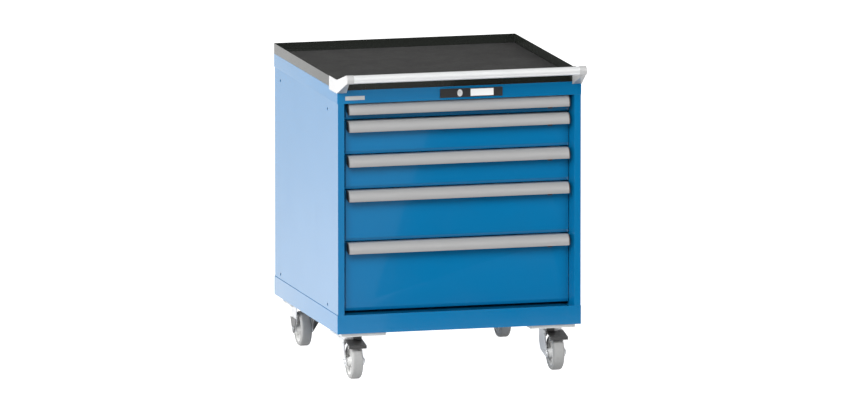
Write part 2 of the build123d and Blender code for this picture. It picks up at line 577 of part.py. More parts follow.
# ---------------------------------------------------------------- drawers
for number, (bottom, pitch) in DRAWERS:
    top = bottom + pitch - FRONT_GAP
    rail_middle = bottom + RAIL_RISE + RAIL_HEIGHT / 2

    # Box: an open steel tray with its own half of the slides and the stud that the lock blocks.
    with BuildPart() as drawer_box:
        with BuildSketch(Plane.XY.offset(bottom + BOX_FLOOR_RISE)):
            with Locations((0, (BOX_FRONT + BOX_BACK) / 2)):
                Rectangle(2 * BOX_SIDE, BOX_BACK - BOX_FRONT)
        extrude(amount=top - bottom - BOX_FLOOR_RISE)
        with BuildSketch(Plane.XY.offset(bottom + BOX_FLOOR_RISE + SHEET)):
            with Locations((0, (BOX_FRONT + BOX_BACK) / 2)):
                Rectangle(2 * BOX_SIDE - 2 * SHEET, DRAWER_LENGTH)
        extrude(amount=top - bottom, mode=Mode.SUBTRACT)
        for _, side in SIDES:
            with BuildSketch(Plane.XZ.offset(-BOX_FRONT)):
                with Locations((side * (BOX_SIDE + RAIL_FLANGE / 2), rail_middle)):
                    Rectangle(RAIL_FLANGE, RAIL_HEIGHT)
                with Locations((side * (BOX_SIDE + SHEET + RAIL_FLANGE / 2), rail_middle)):
                    Rectangle(RAIL_FLANGE, RAIL_INNER, mode=Mode.SUBTRACT)
            extrude(amount=-(BOX_BACK - BOX_FRONT))
        with BuildSketch(Plane.YZ.offset(BOX_SIDE)):
            with Locations((STUD_Y, bottom + STUD_RISE)):
                Circle(STUD_RADIUS)
        extrude(amount=STUD_LENGTH)
    drawer_box.part.label = f"drawer_{number}_box"
    export_step(drawer_box.part, f"parts/drawer_{number}_box.step")

    # Front: a folded panel whose lower edge slopes back, with a slot for the latch.
    front_profile = [
        (BOX_FRONT, top),
        (FACE_Y, top),
        (FACE_Y, bottom + FRONT_BEVEL_HEIGHT),
        (FACE_Y + FRONT_BEVEL_DEPTH, bottom),
        (BOX_FRONT, bottom),
    ]
    slot_width = LATCH_SHANK_WIDTH + LATCH_TRAVEL + 2 * LATCH_CLEARANCE
    shank_z = top - LATCH_SHANK_DROP - LATCH_SHANK_HEIGHT / 2
    with BuildPart() as drawer_front:
        with BuildSketch(Plane.YZ):
            with BuildLine():
                Polyline(*front_profile)
                offset(amount=SHEET, side=Side.LEFT)
            make_face()
        extrude(amount=FACE_SIDE, both=True)
        for _, side in SIDES:
            with BuildSketch(Plane.YZ.offset(side * FACE_SIDE)):
                with BuildLine():
                    Polyline(*front_profile, close=True)
                make_face()
            extrude(amount=-side * SHEET)
        with BuildSketch(Plane.XZ.offset(-FACE_Y)):
            with Locations((LATCH_X + LATCH_TRAVEL / 2, shank_z)):
                Rectangle(slot_width, LATCH_SHANK_HEIGHT + 2 * LATCH_CLEARANCE)
        extrude(amount=-SHEET, mode=Mode.SUBTRACT)
    drawer_front.part.label = f"drawer_{number}_front"
    export_step(drawer_front.part, f"parts/drawer_{number}_front.step")

    # Handle: an extruded grip over the top of the front, open below for the fingers.
    with BuildPart() as drawer_handle:
        with BuildSketch(Plane.YZ):
            with BuildLine():
                Polyline(
                    (FACE_Y, top - HANDLE_BACK_FLANGE),
                    (FACE_Y, top),
                    (FACE_Y - HANDLE_TOP_FLAT, top),
                )
                ThreePointArc(
                    (FACE_Y - HANDLE_TOP_FLAT, top),
                    (FRONT + HANDLE_BULGE_DEPTH, top - HANDLE_BULGE_RISE),
                    (FRONT, top - HANDLE_HEIGHT),
                )
                offset(amount=HANDLE_WALL, side=Side.LEFT)
            make_face()
        extrude(amount=HANDLE_SIDE, both=True)
    drawer_handle.part.label = f"drawer_{number}_handle"
    export_step(drawer_handle.part, f"parts/drawer_{number}_handle.step")

    # Latch: a finger tab behind the handle, its shank through the front, and its keeper.
    tab_front = FRONT + LATCH_TAB_SETBACK
    tab_bottom = top - HANDLE_HEIGHT - LATCH_TAB_DROP
    keeper_front = FACE_Y + SHEET + LATCH_CLEARANCE
    with BuildPart() as drawer_latch:
        with BuildSketch(Plane.XZ.offset(-tab_front)):
            with Locations((LATCH_X, (tab_bottom + top - LATCH_TAB_TOP) / 2)):
                Rectangle(LATCH_TAB_WIDTH, top - LATCH_TAB_TOP - tab_bottom)
        extrude(amount=-LATCH_TAB_THICKNESS)
        with BuildSketch(Plane.XZ.offset(-tab_front)):
            with Locations((LATCH_X, shank_z)):
                Rectangle(LATCH_SHANK_WIDTH, LATCH_SHANK_HEIGHT)
        extrude(amount=-(keeper_front - tab_front))
        with BuildSketch(Plane.XZ.offset(-keeper_front)):
            with Locations((LATCH_X, shank_z)):
                Rectangle(LATCH_KEEPER_WIDTH, LATCH_KEEPER_HEIGHT)
        extrude(amount=-LATCH_KEEPER_THICKNESS)
    drawer_latch.part.label = f"drawer_{number}_latch"
    export_step(drawer_latch.part, f"parts/drawer_{number}_latch.step")

    # Middle members of the slides: an H-shaped bar on each side.
    with BuildPart() as slide_middle:
        for _, side in SIDES:
            with BuildSketch(Plane.XZ.offset(-MIDDLE_FRONT)):
                with Locations((side * MIDDLE_X, rail_middle)):
                    Rectangle(MIDDLE_WIDTH, MIDDLE_HEIGHT)
                    with GridLocations(0, MIDDLE_HEIGHT, 1, 2):
                        Rectangle(
                            MIDDLE_WIDTH - 2 * MIDDLE_WALL,
                            MIDDLE_HEIGHT - MIDDLE_WALL,
                            mode=Mode.SUBTRACT,
                        )
            extrude(amount=-(RAIL_BACK - MIDDLE_FRONT))
    slide_middle.part.label = f"slide_{number}_middle"
    export_step(slide_middle.part, f"parts/slide_{number}_middle.step")

# ---------------------------------------------------------------- castors
with BuildPart() as castor_mount_plates:
    for _, side in SIDES:
        for y in (MOUNT_PLATE_FRONT_Y, REAR_AXLE_Y):
            with BuildSketch(Plane.XY.offset(CASTOR_HEIGHT)):
                with Locations((side * MOUNT_PLATE_X, y)):
                    RectangleRounded(MOUNT_PLATE_WIDTH, MOUNT_PLATE_DEPTH, CASTOR_PLATE_CORNER)
            extrude(amount=MOUNT_PLATE_THICKNESS)
    with BuildSketch(Plane.XY.offset(CASTOR_HEIGHT)):
        for centre in CASTOR_PLATE_CENTRES:
            with Locations(centre):
                with GridLocations(BOLT_SPACING_X, BOLT_SPACING_Y, 2, 2):
                    Circle(BOLT_RADIUS + BOLT_FIT)
    extrude(amount=BOLT_LENGTH - CASTOR_PLATE_THICKNESS + BOLT_FIT, mode=Mode.SUBTRACT)
castor_mount_plates.part.label = "castor_mount_plates"
export_step(castor_mount_plates.part, "parts/castor_mount_plates.step")

with BuildPart() as castor_bolts:
    for centre in CASTOR_PLATE_CENTRES:
        with BuildSketch(Plane.XY.offset(CASTOR_PLATE_BASE)):
            with Locations(centre):
                with GridLocations(BOLT_SPACING_X, BOLT_SPACING_Y, 2, 2):
                    RegularPolygon(BOLT_HEAD_FLATS / 2, HEX_SIDES, major_radius=False)
        extrude(amount=-BOLT_HEAD_HEIGHT)
        with BuildSketch(Plane.XY.offset(CASTOR_PLATE_BASE)):
            with Locations(centre):
                with GridLocations(BOLT_SPACING_X, BOLT_SPACING_Y, 2, 2):
                    Circle(BOLT_RADIUS)
        extrude(amount=BOLT_LENGTH)
castor_bolts.part.label = "castor_bolts"
export_step(castor_bolts.part, "parts/castor_bolts.step")

# Swivel heads: the front castors' fixed plates with the bearing race and the kingpin.
with BuildPart() as swivel_heads:
    for _, side in SIDES:
        centre = (side * CASTOR_X, SWIVEL_Y)
        with BuildSketch(Plane.XY.offset(CASTOR_PLATE_BASE)):
            with Locations(centre):
                RectangleRounded(CASTOR_PLATE_WIDTH, CASTOR_PLATE_DEPTH, CASTOR_PLATE_CORNER)
                with GridLocations(BOLT_SPACING_X, BOLT_SPACING_Y, 2, 2):
                    Circle(BOLT_RADIUS + BOLT_FIT, mode=Mode.SUBTRACT)
        extrude(amount=CASTOR_PLATE_THICKNESS)
        with BuildSketch(Plane.XY.offset(CROWN_TOP + RACE_GAP)):
            with Locations(centre):
                Circle(RACE_RADIUS)
        extrude(amount=CASTOR_PLATE_BASE - CROWN_TOP - RACE_GAP)
        pin_bottom = CROWN_TOP - FORK_SHEET - RACE_GAP
        with BuildSketch(Plane.XY.offset(pin_bottom)):
            with Locations(centre):
                Circle(KINGPIN_RADIUS)
        extrude(amount=CROWN_TOP + RACE_GAP - pin_bottom)
        with BuildSketch(Plane.XY.offset(pin_bottom)):
            with Locations(centre):
                Circle(KINGPIN_HEAD_RADIUS)
        extrude(amount=-KINGPIN_HEAD_HEIGHT)
swivel_heads.part.label = "swivel_heads"
export_step(swivel_heads.part, "parts/swivel_heads.step")

# Front castors: fork, brake pedal and axle.
FORK_FRONT = SWIVEL_Y + FORK_TAIL - FORK_LENGTH
FORK_BACK = SWIVEL_Y + FORK_TAIL
for side_name, side in SIDES:
    centre_x = side * CASTOR_X
    with BuildPart() as castor_fork:
        for face in (-1, 1):
            with BuildSketch(Plane.YZ.offset(centre_x + face * FORK_WIDTH / 2)):
                Polygon(
                    (FORK_FRONT, CROWN_TOP),
                    (FORK_BACK, CROWN_TOP),
                    (FORK_BACK, CROWN_TOP - FORK_CHEEK_BACK),
                    (FORK_BACK - FORK_CHEEK_SLOPE, WHEEL_RADIUS),
                    (FRONT_AXLE_Y, WHEEL_RADIUS - BOSS_RADIUS),
                    (FRONT_AXLE_Y - BOSS_RADIUS, WHEEL_RADIUS),
                    (FRONT_AXLE_Y, WHEEL_RADIUS + BOSS_RADIUS),
                    (FORK_FRONT, WHEEL_RADIUS + FORK_CHEEK_FRONT),
                    align=None,
                )
                with Locations((FRONT_AXLE_Y, WHEEL_RADIUS)):
                    Circle(BOSS_RADIUS)
                    Circle(AXLE_RADIUS + AXLE_FIT, mode=Mode.SUBTRACT)
                with Locations((PIVOT_Y, PIVOT_Z)):
                    Circle(PEDAL_PIN_RADIUS + AXLE_FIT, mode=Mode.SUBTRACT)
            extrude(amount=-face * FORK_SHEET)
        with BuildSketch(Plane.XY.offset(CROWN_TOP)):
            with Locations((centre_x, (FORK_FRONT + FORK_BACK) / 2)):
                Rectangle(FORK_WIDTH, FORK_LENGTH)
            with Locations((centre_x, SWIVEL_Y)):
                Circle(KINGPIN_RADIUS + KINGPIN_FIT, mode=Mode.SUBTRACT)
        extrude(amount=-FORK_SHEET)
    castor_fork.part.label = f"castor_fork_{side_name}"
    export_step(castor_fork.part, f"parts/castor_fork_{side_name}.step")

    pedal_back = FRONT_AXLE_Y + PEDAL_BACK
    tongue_middle = (pedal_back - PEDAL_SHEET / 2, CROWN_TOP + (PEDAL_TONGUE_HEIGHT - PEDAL_SHEET) / 2)
    ear_outer = FORK_WIDTH / 2 - PEDAL_EAR_INSET
    with BuildPart() as brake_pedal:
        with BuildSketch(Plane.YZ.offset(centre_x)):
            Polygon(
                (pedal_back, CROWN_TOP),
                (pedal_back - PEDAL_LENGTH, CROWN_TOP - PEDAL_SLOPE),
                (pedal_back - PEDAL_LENGTH, CROWN_TOP - PEDAL_SLOPE - PEDAL_LIP),
                (pedal_back - PEDAL_LENGTH + PEDAL_SHEET, CROWN_TOP - PEDAL_SLOPE - PEDAL_LIP),
                (pedal_back - PEDAL_LENGTH + PEDAL_SHEET, CROWN_TOP - PEDAL_SLOPE - PEDAL_SHEET),
                (pedal_back, CROWN_TOP - PEDAL_SHEET),
                align=None,
            )
        extrude(amount=PEDAL_WIDTH / 2, both=True)
        with BuildSketch(Plane.YZ.offset(centre_x)):
            with Locations(tongue_middle):
                Rectangle(PEDAL_SHEET, PEDAL_TONGUE_HEIGHT + PEDAL_SHEET)
        extrude(amount=-side * PEDAL_TONGUE_WIDTH)
        for face in (-1, 1):
            with BuildSketch(Plane.YZ.offset(centre_x + face * ear_outer)):
                with BuildLine():
                    Polyline(
                        (pedal_back - 2 * PEDAL_EAR_RADIUS, CROWN_TOP - PEDAL_SHEET),
                        (pedal_back, CROWN_TOP - PEDAL_SHEET),
                        (PIVOT_Y, PIVOT_Z + PEDAL_EAR_RADIUS),
                        (PIVOT_Y, PIVOT_Z - PEDAL_EAR_RADIUS),
                        close=True,
                    )
                make_face()
                with Locations((PIVOT_Y, PIVOT_Z)):
                    Circle(PEDAL_EAR_RADIUS)
            extrude(amount=-face * PEDAL_SHEET)
            with BuildSketch(Plane.YZ.offset(centre_x + face * ear_outer)):
                with Locations((PIVOT_Y, PIVOT_Z)):
                    Circle(PEDAL_PIN_RADIUS)
            extrude(amount=face * PEDAL_EAR_INSET)
    brake_pedal.part.label = f"brake_pedal_{side_name}"
    export_step(brake_pedal.part, f"parts/brake_pedal_{side_name}.step")

    with BuildPart() as front_axle:
        with BuildSketch(Plane.YZ.offset(centre_x)):
            with Locations((FRONT_AXLE_Y, WHEEL_RADIUS)):
                Circle(AXLE_RADIUS)
        extrude(amount=FORK_WIDTH / 2, both=True)
        for face in (-1, 1):
            with BuildSketch(Plane.YZ.offset(centre_x + face * FORK_WIDTH / 2)):
                with Locations((FRONT_AXLE_Y, WHEEL_RADIUS)):
                    RegularPolygon(BOLT_HEAD_FLATS / 2, HEX_SIDES, major_radius=False)
            extrude(amount=face * AXLE_HEAD_HEIGHT)
    front_axle.part.label = f"front_axle_{side_name}"
    export_step(front_axle.part, f"parts/front_axle_{side_name}.step")

# Rear castors: fixed brackets, dark outer cheeks and axles.
with BuildPart() as rear_castor_brackets:
    for _, side in SIDES:
        centre_x = side * CASTOR_X
        with BuildSketch(Plane.XY.offset(CASTOR_PLATE_BASE)):
            with Locations((centre_x, REAR_AXLE_Y)):
                RectangleRounded(CASTOR_PLATE_WIDTH, CASTOR_PLATE_DEPTH, CASTOR_PLATE_CORNER)
                with GridLocations(BOLT_SPACING_X, BOLT_SPACING_Y, 2, 2):
                    Circle(BOLT_RADIUS + BOLT_FIT, mode=Mode.SUBTRACT)
        extrude(amount=CASTOR_PLATE_THICKNESS)
        for face in (-1, 1):
            with BuildSketch(Plane.YZ.offset(centre_x + face * FORK_WIDTH / 2)):
                Polygon(
                    (REAR_AXLE_Y - LEG_WIDTH / 2, CASTOR_PLATE_BASE),
                    (REAR_AXLE_Y + LEG_WIDTH / 2, CASTOR_PLATE_BASE),
                    (REAR_AXLE_Y + LEG_WIDTH / 2, BODY_BASE - CHEEK_DROP),
                    (REAR_AXLE_Y + BOSS_RADIUS, WHEEL_RADIUS),
                    (REAR_AXLE_Y, WHEEL_RADIUS - BOSS_RADIUS),
                    (REAR_AXLE_Y - BOSS_RADIUS, WHEEL_RADIUS),
                    (REAR_AXLE_Y - LEG_WIDTH / 2, BODY_BASE - CHEEK_DROP),
                    align=None,
                )
                with Locations((REAR_AXLE_Y, WHEEL_RADIUS)):
                    Circle(BOSS_RADIUS)
                    Circle(AXLE_RADIUS + AXLE_FIT, mode=Mode.SUBTRACT)
            extrude(amount=-face * FORK_SHEET)
rear_castor_brackets.part.label = "rear_castor_brackets"
export_step(rear_castor_brackets.part, "parts/rear_castor_brackets.step")

with BuildPart() as rear_castor_cheeks:
    for _, side in SIDES:
        centre_x = side * CASTOR_X
        for face in (-1, 1):
            front_reach = CHEEK_FRONT if face == side else INNER_CHEEK_FRONT
            with BuildSketch(Plane.YZ.offset(centre_x + face * FORK_WIDTH / 2)):
                Polygon(
                    (REAR_AXLE_Y - front_reach, BODY_BASE - CHEEK_DROP),
                    (REAR_AXLE_Y + CHEEK_REAR, BODY_BASE - CHEEK_DROP),
                    (REAR_AXLE_Y + BOSS_RADIUS, WHEEL_RADIUS - BOSS_RADIUS / 2),
                    (REAR_AXLE_Y - BOSS_RADIUS, WHEEL_RADIUS - BOSS_RADIUS / 2),
                    align=None,
                )
                with Locations((REAR_AXLE_Y, WHEEL_RADIUS)):
                    Circle(BOSS_RADIUS)
                    Circle(AXLE_RADIUS + AXLE_FIT, mode=Mode.SUBTRACT)
            extrude(amount=face * CHEEK_SHEET)
rear_castor_cheeks.part.label = "rear_castor_cheeks"
export_step(rear_castor_cheeks.part, "parts/rear_castor_cheeks.step")

with BuildPart() as rear_axles:
    for _, side in SIDES:
        centre_x = side * CASTOR_X
        with BuildSketch(Plane.YZ.offset(centre_x)):
            with Locations((REAR_AXLE_Y, WHEEL_RADIUS)):
                Circle(AXLE_RADIUS)
        extrude(amount=FORK_WIDTH / 2 + CHEEK_SHEET, both=True)
        for face in (-1, 1):
            with BuildSketch(Plane.YZ.offset(centre_x + face * (FORK_WIDTH / 2 + CHEEK_SHEET))):
                with Locations((REAR_AXLE_Y, WHEEL_RADIUS)):
                    RegularPolygon(BOLT_HEAD_FLATS / 2, HEX_SIDES, major_radius=False)
            extrude(amount=face * AXLE_HEAD_HEIGHT)
rear_axles.part.label = "rear_axles"
export_step(rear_axles.part, "parts/rear_axles.step")

# Wheels and tyres, turned about each axle.
for end_name, axle_y in (("front", FRONT_AXLE_Y), ("rear", REAR_AXLE_Y)):
    for side_name, side in SIDES:
        wheel_centre = (side * CASTOR_X, axle_y, WHEEL_RADIUS)
        wheel_plane = Plane(wheel_centre, x_dir=(1, 0, 0), z_dir=(0, -1, 0))
        wheel_axis = Axis(wheel_centre, (1, 0, 0))
        rim_middle = RIM_RADIUS - BOND_GAP - RIM_THICKNESS / 2
        hub_middle = (HUB_RADIUS + AXLE_RADIUS + AXLE_FIT) / 2
        web_inner = HUB_RADIUS - RIM_THICKNESS / 2
        web_outer = RIM_RADIUS - RIM_THICKNESS
        with BuildPart() as castor_wheel:
            with BuildSketch(wheel_plane):
                with Locations((0, hub_middle)):
                    Rectangle(HUB_WIDTH, HUB_RADIUS - AXLE_RADIUS - AXLE_FIT)
                with Locations((0, (web_inner + web_outer) / 2)):
                    Rectangle(WEB_THICKNESS, web_outer - web_inner)
                with Locations((0, rim_middle)):
                    Rectangle(RIM_WIDTH, RIM_THICKNESS)
            revolve(axis=wheel_axis)
        castor_wheel.part.label = f"{end_name}_wheel_{side_name}"
        export_step(castor_wheel.part, f"parts/{end_name}_wheel_{side_name}.step")

        with BuildPart() as castor_tyre:
            with BuildSketch(wheel_plane):
                with Locations((0, (RIM_RADIUS + WHEEL_RADIUS) / 2)):
                    Rectangle(WHEEL_WIDTH, TYRE_THICKNESS)
            revolve(axis=wheel_axis)
            tread_edges = castor_tyre.edges().filter_by(GeomType.CIRCLE).sort_by(SortBy.RADIUS)[-2:]
            fillet(tread_edges, TYRE_EDGE_RADIUS)
        castor_tyre.part.label = f"{end_name}_tyre_{side_name}"
        export_step(castor_tyre.part, f"parts/{end_name}_tyre_{side_name}.step")
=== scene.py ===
"""Looks of a mobile steel workbench: housing, drawers, worktop, push bar, lock and castors.

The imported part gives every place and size. Metres, origin on the floor, -Y to the drawers' front.
"""

import json
import logging
import math
from dataclasses import dataclass
from enum import Enum
from typing import Sequence

import bmesh
import bpy
from mathutils import Matrix, Vector


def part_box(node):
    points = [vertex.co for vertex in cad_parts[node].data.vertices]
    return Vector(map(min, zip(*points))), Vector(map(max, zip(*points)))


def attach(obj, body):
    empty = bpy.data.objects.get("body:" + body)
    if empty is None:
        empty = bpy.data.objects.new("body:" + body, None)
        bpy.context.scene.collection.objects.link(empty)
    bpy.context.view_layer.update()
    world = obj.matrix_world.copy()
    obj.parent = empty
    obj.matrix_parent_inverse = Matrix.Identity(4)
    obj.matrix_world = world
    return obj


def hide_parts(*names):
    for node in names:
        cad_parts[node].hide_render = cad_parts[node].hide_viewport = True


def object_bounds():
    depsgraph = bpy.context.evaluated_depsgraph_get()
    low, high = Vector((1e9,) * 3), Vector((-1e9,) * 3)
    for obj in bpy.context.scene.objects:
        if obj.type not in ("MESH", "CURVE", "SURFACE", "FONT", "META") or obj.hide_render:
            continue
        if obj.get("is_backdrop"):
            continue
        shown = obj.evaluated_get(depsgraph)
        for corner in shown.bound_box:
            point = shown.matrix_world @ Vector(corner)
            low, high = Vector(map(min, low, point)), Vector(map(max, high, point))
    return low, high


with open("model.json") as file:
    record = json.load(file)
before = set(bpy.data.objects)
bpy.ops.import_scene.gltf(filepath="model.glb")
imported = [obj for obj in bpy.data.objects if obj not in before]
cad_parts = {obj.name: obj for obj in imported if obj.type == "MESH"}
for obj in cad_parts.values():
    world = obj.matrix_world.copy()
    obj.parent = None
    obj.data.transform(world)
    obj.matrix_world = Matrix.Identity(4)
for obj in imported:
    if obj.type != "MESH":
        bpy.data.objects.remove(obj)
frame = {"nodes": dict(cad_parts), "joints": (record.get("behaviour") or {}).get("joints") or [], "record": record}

LOG = logging.getLogger("workbench")
MM = 0.001
SIDES = (("left", -1), ("right", 1))
DRAWER_NUMBERS = (1, 2, 3, 4, 5)
MERGE_UNDER = 1e-6
FLAT_UNDER = 0.5
SMOOTH_UNDER = 32.0
BEVEL_OVER = 35
Colour = tuple[float, float, float]
Point = tuple[float, float]
Triple = tuple[float, float, float]


# ---------------------------------------------------------------- wiring of node trees
class Wiring:
    """A node tree while it is being wired."""

    def __init__(self, tree: bpy.types.NodeTree) -> None:
        """Keeps the tree that nodes are added to."""
        self.tree = tree

    def add(self, kind: str, **settings: object) -> bpy.types.Node:
        """Adds a node.

        Args:
            kind: the node's type name.
            settings: attributes of the node, set before its sockets are used.

        Returns:
            The new node.
        """
        node = self.tree.nodes.new(kind)
        for name, value in settings.items():
            setattr(node, name, value)
        return node

    def feed(self, socket: bpy.types.NodeSocket, value: object) -> None:
        """Joins a socket to another socket, or sets its value.

        Args:
            socket: the input to feed.
            value: a socket to join it to, or a plain value; None leaves it alone.
        """
        if isinstance(value, bpy.types.NodeSocket):
            self.tree.links.new(value, socket)
        elif value is not None:
            socket.default_value = value

    def maths(self, operation: str, *values: object) -> bpy.types.NodeSocket:
        """Adds a Math node.

        Args:
            operation: the node's operation.
            values: what feeds its inputs, in order.

        Returns:
            Its result.
        """
        node = self.add("ShaderNodeMath", operation=operation)
        for socket, value in zip(node.inputs, values):
            self.feed(socket, value)
        return node.outputs[0]

    def vector_maths(self, operation: str, *values: object) -> bpy.types.Node:
        """Adds a Vector Math node.

        Args:
            operation: the node's operation.
            values: what feeds its inputs, in order.

        Returns:
            The node, whose first or second output holds the result.
        """
        node = self.add("ShaderNodeVectorMath", operation=operation)
        for socket, value in zip(node.inputs, values):
            self.feed(socket, value)
        return node

    def spread(
        self, value: object, low: object, high: object, to_low: object, to_high: object
    ) -> bpy.types.NodeSocket:
        """Maps a value from one range to another, clamped.

        Args:
            value: the value to map.
            low: start of the range it comes from.
            high: end of the range it comes from.
            to_low: what the start becomes.
            to_high: what the end becomes.

        Returns:
            The mapped value.
        """
        node = self.add("ShaderNodeMapRange")
        names = ("Value", "From Min", "From Max", "To Min", "To Max")
        for name, given in zip(names, (value, low, high, to_low, to_high)):
            self.feed(node.inputs[name], given)
        return node.outputs["Result"]

    def blend(self, share: object, first: object, second: object) -> bpy.types.NodeSocket:
        """Mixes two colours.

        Args:
            share: how much of the second colour shows, from 0 to 1.
            first: the first colour.
            second: the second colour.

        Returns:
            The mixed colour.
        """
        node = self.add("ShaderNodeMix", data_type="RGBA")
        self.feed(node.inputs[0], share)
        self.feed(node.inputs[6], first)
        self.feed(node.inputs[7], second)
        return node.outputs[2]


def new_group(
    name: str, kind: str, inputs: Sequence[tuple], outputs: Sequence[tuple]
) -> tuple[Wiring, dict, dict]:
    """Starts a node group with named sockets.

    Args:
        name: the group's name.
        kind: "ShaderNodeTree" or "GeometryNodeTree".
        inputs: (name, socket type, value) for each input; a value of None sets nothing.
        outputs: (name, socket type) for each output.

    Returns:
        The wiring, the inputs' sockets by name and the output node's sockets by name.
    """
    tree = bpy.data.node_groups.new(name, kind)
    for label, socket_type, value in inputs:
        socket = tree.interface.new_socket(name=label, in_out="INPUT", socket_type=socket_type)
        if value is not None:
            socket.default_value = value
    for label, socket_type in outputs:
        tree.interface.new_socket(name=label, in_out="OUTPUT", socket_type=socket_type)
    wiring = Wiring(tree)
    entry = wiring.add("NodeGroupInput")
    leave = wiring.add("NodeGroupOutput")
    given = {label: entry.outputs[label] for label, _, _ in inputs}
    wanted = {label: leave.inputs[label] for label, _ in outputs}
    return wiring, given, wanted


FLOAT = "NodeSocketFloat"
VECTOR = "NodeSocketVector"
INTEGER = "NodeSocketInt"
GEOMETRY = "NodeSocketGeometry"
MATERIAL = "NodeSocketMaterial"


# ---------------------------------------------------------------- effects that finishes share
class Effects:
    """Shader node groups that more than one finish uses, each built once."""

    def __init__(self) -> None:
        """Builds the groups."""
        self.edge_wear = self._edge_wear()
        self.mottle = self._mottle()
        self.peel = self._peel()
        self.brushed = self._brushed()
        self.dust = self._dust()
        self.scuffs = self._scuffs()

    @staticmethod
    def _noise(
        wiring: Wiring, scale: object, detail: float, stretch: object = None
    ) -> bpy.types.NodeSocket:
        """Noise on the object's own coordinates.

        Args:
            wiring: the tree to add it to.
            scale: the noise's scale, per metre.
            detail: octaves.
            stretch: a vector that the coordinates are multiplied by, or None.

        Returns:
            The noise value, about 0.5 on average.
        """
        place = wiring.add("ShaderNodeTexCoord").outputs["Object"]
        if stretch is not None:
            place = wiring.vector_maths("MULTIPLY", place, stretch).outputs[0]
        noise = wiring.add("ShaderNodeTexNoise")
        wiring.feed(noise.inputs["Vector"], place)
        wiring.feed(noise.inputs["Scale"], scale)
        noise.inputs["Detail"].default_value = detail
        return noise.outputs["Fac"]

    def _edge_wear(self) -> bpy.types.NodeTree:
        """Mask that is high along outer edges, broken up in patches so that they look handled: partly worn edges,
        partly a painted highlight along edges that catch the light.

        Returns:
            The group.
        """
        wiring, given, wanted = new_group(
            "edge_wear", "ShaderNodeTree",
            [("Width", FLOAT, 0.001), ("Patchiness", FLOAT, 60.0)], [("Mask", FLOAT)],
        )
        # edges found by the bevel normal: worn edges and a painted edge highlight both use this mask
        rounded = wiring.add("ShaderNodeBevel", samples=4)
        wiring.feed(rounded.inputs["Radius"], given["Width"])
        plain = wiring.add("ShaderNodeNewGeometry").outputs["Normal"]
        likeness = wiring.vector_maths("DOT_PRODUCT", rounded.outputs["Normal"], plain).outputs["Value"]
        turned = wiring.spread(likeness, 0.995, 0.86, 0.0, 1.0)
        patches = wiring.spread(self._noise(wiring, given["Patchiness"], 3.0), 0.35, 0.65, 0.2, 1.0)
        wiring.feed(wanted["Mask"], wiring.maths("MULTIPLY", turned, patches))
        return wiring.tree

    def _mottle(self) -> bpy.types.NodeTree:
        """Slow, faint changes of tone over a surface.

        Returns:
            The group.
        """
        wiring, given, wanted = new_group(
            "mottle", "ShaderNodeTree", [("Scale", FLOAT, 6.0)], [("Tone", FLOAT)]
        )
        broad = self._noise(wiring, given["Scale"], 2.0)
        fine = self._noise(wiring, wiring.maths("MULTIPLY", given["Scale"], 23.0), 4.0)
        both = wiring.maths("MULTIPLY_ADD", fine, 0.35, wiring.maths("MULTIPLY", broad, 0.65))
        wiring.feed(wanted["Tone"], wiring.spread(both, 0.35, 0.65, 0.0, 1.0))
        return wiring.tree

    def _peel(self) -> bpy.types.NodeTree:
        """Height of a sprayed or moulded skin: rounded cells with a finer grain over them.

        Returns:
            The group.
        """
        wiring, given, wanted = new_group(
            "skin_texture", "ShaderNodeTree",
            [("Scale", FLOAT, 500.0), ("Fineness", FLOAT, 0.3)], [("Height", FLOAT)],
        )
        place = wiring.add("ShaderNodeTexCoord").outputs["Object"]
        cells = wiring.add("ShaderNodeTexVoronoi", feature="SMOOTH_F1")
        wiring.feed(cells.inputs["Vector"], place)
        wiring.feed(cells.inputs["Scale"], given["Scale"])
        grain = self._noise(wiring, wiring.maths("MULTIPLY", given["Scale"], 3.1), 3.0)
        height = wiring.maths("MULTIPLY_ADD", grain, given["Fineness"], cells.outputs["Distance"])
        wiring.feed(wanted["Height"], height)
        return wiring.tree

    def _brushed(self) -> bpy.types.NodeTree:
        """Drawn or brushed lines along one direction.

        Returns:
            The group.
        """
        wiring, given, wanted = new_group(
            "drawn_lines",
            "ShaderNodeTree",
            [("Stretch", VECTOR, (0.02, 1.0, 1.0)), ("Scale", FLOAT, 900.0)],
            [("Height", FLOAT), ("Tone", FLOAT)],
        )
        lines = self._noise(wiring, given["Scale"], 3.0, given["Stretch"])
        wiring.feed(wanted["Height"], lines)
        wiring.feed(wanted["Tone"], wiring.spread(lines, 0.3, 0.7, 0.0, 1.0))
        return wiring.tree

    def _dust(self) -> bpy.types.NodeTree:
        """Dust that lies on what faces up, thicker in patches.

        Returns:
            The group.
        """
        wiring, given, wanted = new_group(
            "settled_dust", "ShaderNodeTree", [("Amount", FLOAT, 0.1)], [("Mask", FLOAT)]
        )
        normal = wiring.add("ShaderNodeNewGeometry").outputs["Normal"]
        upward = wiring.vector_maths("DOT_PRODUCT", normal, (0.0, 0.0, 1.0)).outputs["Value"]
        lying = wiring.spread(upward, 0.2, 1.0, 0.0, 1.0)
        patches = wiring.spread(self._noise(wiring, 35.0, 5.0), 0.4, 0.7, 0.15, 1.0)
        mask = wiring.maths("MULTIPLY", wiring.maths("MULTIPLY", lying, patches), given["Amount"])
        wiring.feed(wanted["Mask"], mask)
        return wiring.tree

